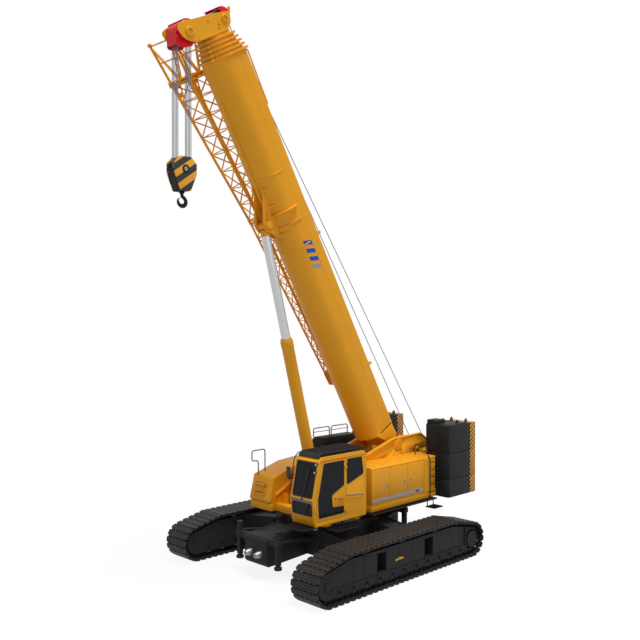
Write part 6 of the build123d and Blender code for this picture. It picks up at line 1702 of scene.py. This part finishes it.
# %% Arms that hold the stowed jib against the boom
arms = []
for along, thick in ((7.7, 0.029), (7.87, 0.036), (11.71, 0.036)):
    y0, y1 = -0.475, JIB_SIDE + thick
    arms += [plate(oblong(y0, JIB_TOP + 0.045, y1, JIB_TOP - 0.045), crosswise, along, along + 0.04, 0.004),
             plate([(y0, JIB_TOP - 0.045), (y0 - 0.02, JIB_TOP - 0.045), (y0 - 0.14, JIB_TOP - 0.05),
                    (y0, JIB_TOP - 0.26)], crosswise, along + 0.012, along + 0.026, 0.002),
             plate(oblong(along - 0.06, JIB_TOP - 0.28, along + 0.1, JIB_TOP + 0.08), boom, -0.474,
                   -0.486, 0.003)]
# slotted stowage plate that stands out under the bracket
sheet = plate(rounded([(7.62, 0.02), (8.1, 0.02), (8.02, -0.42), (7.74, -0.42)], 0.05), boom, -0.64,
              -0.655, 0.003)
slotting = plate(rounded([(7.78, -0.1), (7.94, -0.1), (7.91, -0.34), (7.81, -0.34)], 0.05), boom,
                 -0.5, -0.8, 0)
arms += [cut(sheet, slotting),
         plate([(-0.475, -0.06), (-0.645, -0.06), (-0.645, -0.14), (-0.475, -0.3)], crosswise,
               7.845, 7.86, 0.003)]
dress("jib_stowage", joined(arms), yellow, "boom_base", "jib_brackets")

# %% [markdown]
# The luffing cylinder has a thick honed barrel and a hard chromed rod. The rod's eye turns on the pin of the
# boom's bracket and the barrel's foot between two lugs of the turntable.

# %% Lift cylinder
rod_eye = Vector(joints["rod_swing"]["pos_m"])
foot = Vector((0.433, 0, 1.95))
stroke = (rod_eye - foot).normalized()
barrel = turned([(0.1255, 0.3), (0.1255, 4.478), (0.15, 4.478), (0.158, 4.47), (0.158, 4.42), (0.176, 4.41),
                 (0.176, 4.22), (0.168, 4.2), (0.168, 0.42), (0.176, 0.4), (0.176, 0.22), (0.15, 0.15),
                 (0.0, 0.15), (0.0, 0.3)], foot, stroke, steps=44)
eye = turned(both_ways([(0, -0.207), (0.135, -0.207), (0.149, -0.195)]), foot, LEFT, steps=36)
side_way = Vector((0, -1, 0))
pipe_out = side_way * 0.195
parts = [barrel, eye,
         tube([foot + stroke * 4.3 + side_way * 0.17, foot + stroke * 4.3 + pipe_out,
               foot + stroke * 0.55 + pipe_out, foot + stroke * 0.5 + side_way * 0.16], 0.012, 0.03)]
for mark in (1.0, 2.1, 3.2):
    parts.append(turned(oblong(0.166, -0.02, 0.172, 0.02), foot + stroke * mark, stroke, steps=44))
# gland bolts
gland = copies(drum(0.01, 0, 0.012, (0.142, 0, 0), UP, steps=6, edge=0.001),
               [Matrix.Translation(foot + stroke * 4.474) @ facing(stroke) @
                Matrix.Rotation(k * pi / 8, 4, "Z") for k in range(16)])
parts.append(gland)
dress("cylinder_barrel", joined(parts), yellow, "lift_barrel", "lift_cylinder_barrel")

rod = turned([(0, -4.648), (0.118, -4.648), (0.1245, -4.64), (0.1245, -0.26), (0.115, -0.2), (0.09, -0.12),
              (0.0, -0.12)], rod_eye, stroke, steps=44)
dress("cylinder_rod", rod, chrome, "lift_rod", "lift_cylinder_rod", slot="rod_chrome")
head = turned(both_ways([(0, -0.142), (0.085, -0.142), (0.098, -0.13)]), rod_eye, LEFT, steps=32)
neck = turned([(0.0, -0.28), (0.12, -0.28), (0.13, -0.26), (0.13, -0.2), (0.09, -0.1), (0.0, -0.1)], rod_eye,
              stroke, steps=32)
pin = turned(both_ways([(0, -0.268), (0.05, -0.268), (0.0595, -0.258)]), rod_eye, LEFT, steps=24)
caps = [turned([(0, 0.256), (0.085, 0.256), (0.085, 0.266), (0.0, 0.27)], rod_eye, (0, s, 0), steps=24)
        for s in (-1, 1)]
dress("rod_eye", joined([head, neck, pin, *caps]), yellow, "lift_rod")

# %% [markdown]
# The hook block hangs on ten falls of rope. Its cheeks are painted with warning stripes, because they swing
# where people work. A forged hook turns below it on a thrust bearing.

# %% Hook block
BLOCK = Vector((HUB.x, 0, 10.45))
FOOT = BLOCK.z - 0.53
cheek = rounded([(-0.325, -0.11), (-0.325, 0.14), (-0.17, 0.3), (0.17, 0.3), (0.325, 0.14), (0.325, -0.11),
                 (0.15, -0.53), (-0.15, -0.53)], 0.05)
cheek = [(BLOCK.x + a, BLOCK.z + b) for a, b in cheek]
cheeks = [plate(cheek, upright, side * 0.15, side * 0.172, 0.006, 2) for side in (-1, 1)]
dress("hook_block_cheeks", joined(cheeks), hook_stripes, "hook_block", "hook_block", slot="yellow_paint")
wheels = copies(sheave(LOWER_R, LOWER_PITCH / 2 - 0.006), row(LOWER_PITCH, BLOCK))
axle = turned(both_ways([(0, -0.19), (0.05, -0.19), (0.0595, -0.184)]), BLOCK, LEFT, steps=24)
dress("hook_block_sheaves", joined([wheels, axle]), bare_steel, "hook_block")
parts = []
for side in (-1, 1):
    parts.append(turned([(0.06, 0.17), (0.1, 0.17), (0.1, 0.19), (0.06, 0.193)], BLOCK,
                        (0, side, 0), steps=24))
    # bars that hold the cheeks apart, and the plates that close the front and the rear
    parts += [drum(0.022, -0.15, 0.15, BLOCK + Vector((side * 0.14, 0, 0.255)), LEFT, steps=16),
              drum(0.022, -0.15, 0.15, BLOCK + Vector((side * 0.285, 0, -0.02)), LEFT, steps=16)]
    shield = [(side * 0.315, -0.1), (side * 0.285, -0.1), (side * 0.13, -0.5), (side * 0.155, -0.5)]
    parts.append(plate([(BLOCK.x + a, BLOCK.z + b) for a, b in shield], upright, -0.15, 0.15, 0.004))
    strap = oblong(side * 0.255, -0.135, side * 0.223, 0.1)
    for y in (-0.142, 0.122):
        parts.append(plate([(BLOCK.x + a, BLOCK.z + b) for a, b in strap], upright, y, y + 0.02, 0.003))
parts.append(block((BLOCK.x - 0.12, -0.16, FOOT + 0.002), (BLOCK.x + 0.12, 0.16, FOOT + 0.17), 0.012))
dress("hook_block_trunnion", joined(parts), charcoal, "hook_block")

# %% [markdown]
# A forged hook is thickest where it bends, and its section runs from round at the shank to a flattened egg in
# the bowl. Here a ring of corners is carried along the hook's centre line and grows and shrinks on the way.

# %% Hook
NECK = Vector((HUB.x, 0, FOOT))
line = [(0.0, -0.002, 0.045), (0.0, -0.06, 0.045), (0.0, -0.1, 0.043), (-0.04, -0.135, 0.042),
        (-0.092, -0.175, 0.046), (-0.125, -0.235, 0.052), (-0.112, -0.3, 0.056), (-0.065, -0.345, 0.057),
        (0.0, -0.358, 0.053), (0.065, -0.335, 0.046), (0.105, -0.285, 0.038), (0.115, -0.235, 0.03),
        (0.108, -0.195, 0.021), (0.1, -0.172, 0.011)]
rings = []
mesh = bmesh.new()
count = 14
for i, (x, z, radius) in enumerate(line):
    ahead, behind = line[min(i + 1, len(line) - 1)], line[max(i - 1, 0)]
    direction = Vector((ahead[0] - behind[0], 0, ahead[1] - behind[1])).normalized()
    out = Vector((direction.z, 0, -direction.x))
    flat = 0.8 if 2 < i < 12 else 1.0
    ring = []
    for k in range(count):
        turn = 2 * pi * k / count
        ring.append(mesh.verts.new(NECK + Vector((x, 0, z)) +
                                   out * radius * cos(turn) * (1.06 if flat < 1 else 1) +
                                   Vector((0, 1, 0)) * min(radius, 0.044) * flat * sin(turn)))
    rings.append(ring)
for first, second in zip(rings, rings[1:]):
    for k in range(count):
        mesh.faces.new((first[k], first[(k + 1) % count], second[(k + 1) % count], second[k]))
mesh.faces.new(list(reversed(rings[0])))
mesh.faces.new(rings[-1])
made = bpy.data.meshes.new("hook")
bmesh.ops.recalc_face_normals(mesh, faces=mesh.faces)
mesh.to_mesh(made)
mesh.free()
body = bpy.data.objects.new("hook", made)
bpy.context.collection.objects.link(body)
only(body)
smooth = body.modifiers.new("round", "SUBSURF")
smooth.levels = smooth.render_levels = 1
bpy.ops.object.modifier_apply(modifier=smooth.name)
soften(body, 0, angle=60)
collar = turned([(0, -0.002), (0.06, -0.002), (0.068, -0.01), (0.068, -0.035), (0.056, -0.048), (0, -0.048)],
                NECK, UP, steps=28)
latch = tube([NECK + Vector((-0.045, 0, -0.135)), NECK + Vector((0.02, 0, -0.15)),
              NECK + Vector((0.098, 0, -0.186))], 0.009, 0.03)
dress("lifting_hook", joined([body, collar, latch]), charcoal, "hook", "hook", slot="yellow_paint")

# %% [markdown]
# Wire rope is six strands laid round a core. At this distance it reads as a thin grey line, so each fall is a
# plain round bar. The falls stretch between the head and the hook block.

# %% Falls
ROPE_R = 0.0115
# from a sheave's axle to the middle of its rope
LOWER_LAY = LOWER_R + 0.002 - GROOVE + 0.0123
UPPER_LAY = UPPER_R + 0.002 - GROOVE + 0.0123
falls = []
steps = 12
for end in (-1, 1):
    for k in range(5):
        x, y = HUB.x + end * LOWER_LAY, LOWER_PITCH * (k - 2)
        low, high = BLOCK.z, HUB.z
        falls.append(tube([(x, y, low + (high - low) * i / steps) for i in range(steps + 1)],
                          ROPE_R, 0, sides=8))
line = joined(falls)
line.name = line.data.name = "rope_falls"
line.data.materials.append(wire_rope)
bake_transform(line)
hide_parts("hook_falls")


# %% Ropes over the head
def wrap(centre, radius, low, high, y, steps=10):
    """A rope's bend round a sheave, in the machine's side view."""
    return [(centre.x + radius * cos(radians(low + (high - low) * k / steps)), y,
             centre.z + radius * sin(radians(low + (high - low) * k / steps))) for k in range(steps + 1)]


span = boom(*LOW) - boom(*HIGH)
tangent = degrees(atan2(span.z, span.x) + acos((UPPER_LAY - LOWER_LAY) / span.length))
over = [tube(wrap(boom(*LOW), LOWER_LAY, 110, 0, LOWER_PITCH * (k - 2)), ROPE_R, 0) for k in range(5)]
under = [tube(wrap(BLOCK, LOWER_LAY, 180, 360, LOWER_PITCH * (k - 2)), ROPE_R, 0) for k in range(5)]
dress("block_ropes", joined(under), wire_rope, "hook_block")

# %% [markdown]
# Each hoist rope leaves its drum at the back and runs straight up over the boom to the upper sheaves. It is
# cut into lengths: one from the turntable to the boom, one on the base tube, and one across each telescope
# collar. Only the length on the base tube hangs on the boom; the others stay where they are drawn.

# %% Hoist ropes
ROPE_FOOT, ROPE_HEAD = 1.5, 12.15
reach = [ROPE_HEAD + COLLAR_PITCH * k for k in range(6)]
DRUM_LAY = 0.2765
lengths = {"hoist_rope_foot": [], "hoist_rope_base": []}
for winch, drum_y, sheave_step in (("main_winch_spin", 0.28, 1), ("auxiliary_winch_spin", 0.34, 2)):
    axle, head = Vector(joints[winch]["pos_m"]), boom(*HIGH)
    run = head - axle
    lean = atan2(run.z, run.x) + acos((DRUM_LAY - UPPER_LAY) / Vector((run.x, 0, run.z)).length)
    out = Vector((cos(lean), 0, sin(lean)))
    low = Vector((axle.x, drum_y, axle.z)) + out * DRUM_LAY
    high = Vector((head.x, UPPER_PITCH * sheave_step, head.z)) + out * UPPER_LAY
    step = (high - low).normalized()

    def on_rope(along):
        """The rope's place beside a distance along the boom."""
        return low + step * ((along - (low - PIVOT).dot(ALONG)) / step.dot(ALONG))

    lowest = [low, low.lerp(on_rope(ROPE_FOOT), 0.5), on_rope(ROPE_FOOT)]
    lengths["hoist_rope_foot"].append(tube(lowest, ROPE_R, 0))
    lengths["hoist_rope_base"].append(tube([on_rope(ROPE_FOOT), on_rope(reach[0])], ROPE_R, 0))
    for k in range(5):
        piece = tube([on_rope(reach[k]), on_rope(reach[k + 1])], ROPE_R, 0)
        lengths.setdefault(f"hoist_rope_{k + 2}", []).append(piece)
    over.append(tube([on_rope(reach[5])] + wrap(boom(*HIGH), UPPER_LAY, degrees(lean), tangent, high.y) +
                     wrap(boom(*LOW), LOWER_LAY, tangent, 0, LOWER_PITCH * sheave_step), ROPE_R, 0))
for name, pieces in lengths.items():
    length = joined(pieces)
    length.name = length.data.name = name
    length.data.materials.append(wire_rope)
    if name == "hoist_rope_foot":
        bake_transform(length)
    elif name == "hoist_rope_base":
        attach(length, "boom_base")
    else:
        outer = int(name[-1]) - 1
        first = "boom_base" if outer == 1 else f"boom_{outer}"
        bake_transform(length)
dress("head_ropes", joined(over), wire_rope, "boom_6")
print("hoist rope leaves the head at", round(degrees(lean), 1), "degrees")

# %% [markdown]
# The floor is plain and pale, and shows white to the camera and in reflections while it still takes the
# crane's shadow. Two large soft lamps stand far off, one overhead and one at the left, so that the raised
# boom stays below.

# %% Floor
FLOOR_GLOW = 0.88
BOUNCE = 0.55
bpy.ops.mesh.primitive_plane_add(size=400, location=(0, 0, -0.002))
floor = bpy.context.object
floor.name = "floor"
material, tree, shader = new_material("studio_floor")
shader.inputs["Roughness"].default_value = 0.9
white = add(tree, "Emission", {"Color": (1, 1, 1, 1), "Strength": 1.0})
path = add(tree, "LightPath")
pale = add(tree, "Mix", {"data_type": "RGBA", 6: (0.96, 0.96, 0.96, 1), 7: (BOUNCE, BOUNCE, BOUNCE, 1)},
           _0=path.outputs["Is Diffuse Ray"])
tree.links.new(pale.outputs[2], shader.inputs["Base Color"])
seen = add(tree, "Math", {"operation": "MAXIMUM"}, _0=path.outputs["Is Camera Ray"],
           _1=path.outputs["Is Glossy Ray"])
here = add(tree, "TexCoord").outputs["Object"]
away = add(tree, "VectorMath", {"operation": "LENGTH"}, _0=here)
fade = add(tree, "MapRange", {"From Min": 3.0, "From Max": 8.5, "To Min": FLOOR_GLOW, "To Max": 1.0},
           Value=away.outputs["Value"])
share = add(tree, "Math", {"operation": "MULTIPLY"}, _0=seen.outputs[0], _1=fade.outputs["Result"])
mixed = add(tree, "MixShader", _0=share.outputs[0], _1=shader.outputs["BSDF"], _2=white.outputs["Emission"])
output = [node for node in tree.nodes if node.type == "OUTPUT_MATERIAL"][0]
tree.links.new(mixed.outputs[0], output.inputs["Surface"])
floor.data.materials.append(material)

# %% Sky and lamps
world = bpy.data.worlds.new("studio")
bpy.context.scene.world = world
world.use_nodes = True
tree = world.node_tree
tree.nodes.clear()
path = add(tree, "LightPath")
seen = add(tree, "Math", {"operation": "MAXIMUM"}, _0=path.outputs["Is Camera Ray"],
           _1=path.outputs["Is Glossy Ray"])
dim = add(tree, "Background", {"Color": (1, 1, 1, 1), "Strength": 0.3})
bright = add(tree, "Background", {"Color": (1, 1, 1, 1), "Strength": 1.0})
sky = add(tree, "MixShader", _0=seen.outputs[0], _1=dim.outputs[0], _2=bright.outputs[0])
add(tree, "OutputWorld", Surface=sky.outputs[0])


def lamp(name, place, aim, size, power):
    """A large square soft lamp."""
    data = bpy.data.lights.new(name, "AREA")
    data.size, data.energy = size, power
    light = bpy.data.objects.new(name, data)
    bpy.context.collection.objects.link(light)
    light.location = place
    light.rotation_euler = (Vector(aim) - Vector(place)).to_track_quat("-Z", "Y").to_euler()


lamp("top", (6, 24, 104), (0, 0, 5), 42, 94500)
lamp("side", (30, 102, 30), (0, 0, 6), 42, 8100)

# %% Camera
eye = bpy.data.cameras.new("camera")
eye.lens, eye.sensor_width = 45.16, 36
eye.clip_end = 500
camera = bpy.data.objects.new("camera", eye)
bpy.context.collection.objects.link(camera)
camera.location = (16.379, 16.182, 6.992)
look = Vector((-0.70537, -0.70868, -0.00963))
camera.rotation_euler = look.to_track_quat("-Z", "Y").to_euler()
bpy.context.scene.camera = camera
bpy.context.scene.view_settings.view_transform = "Standard"
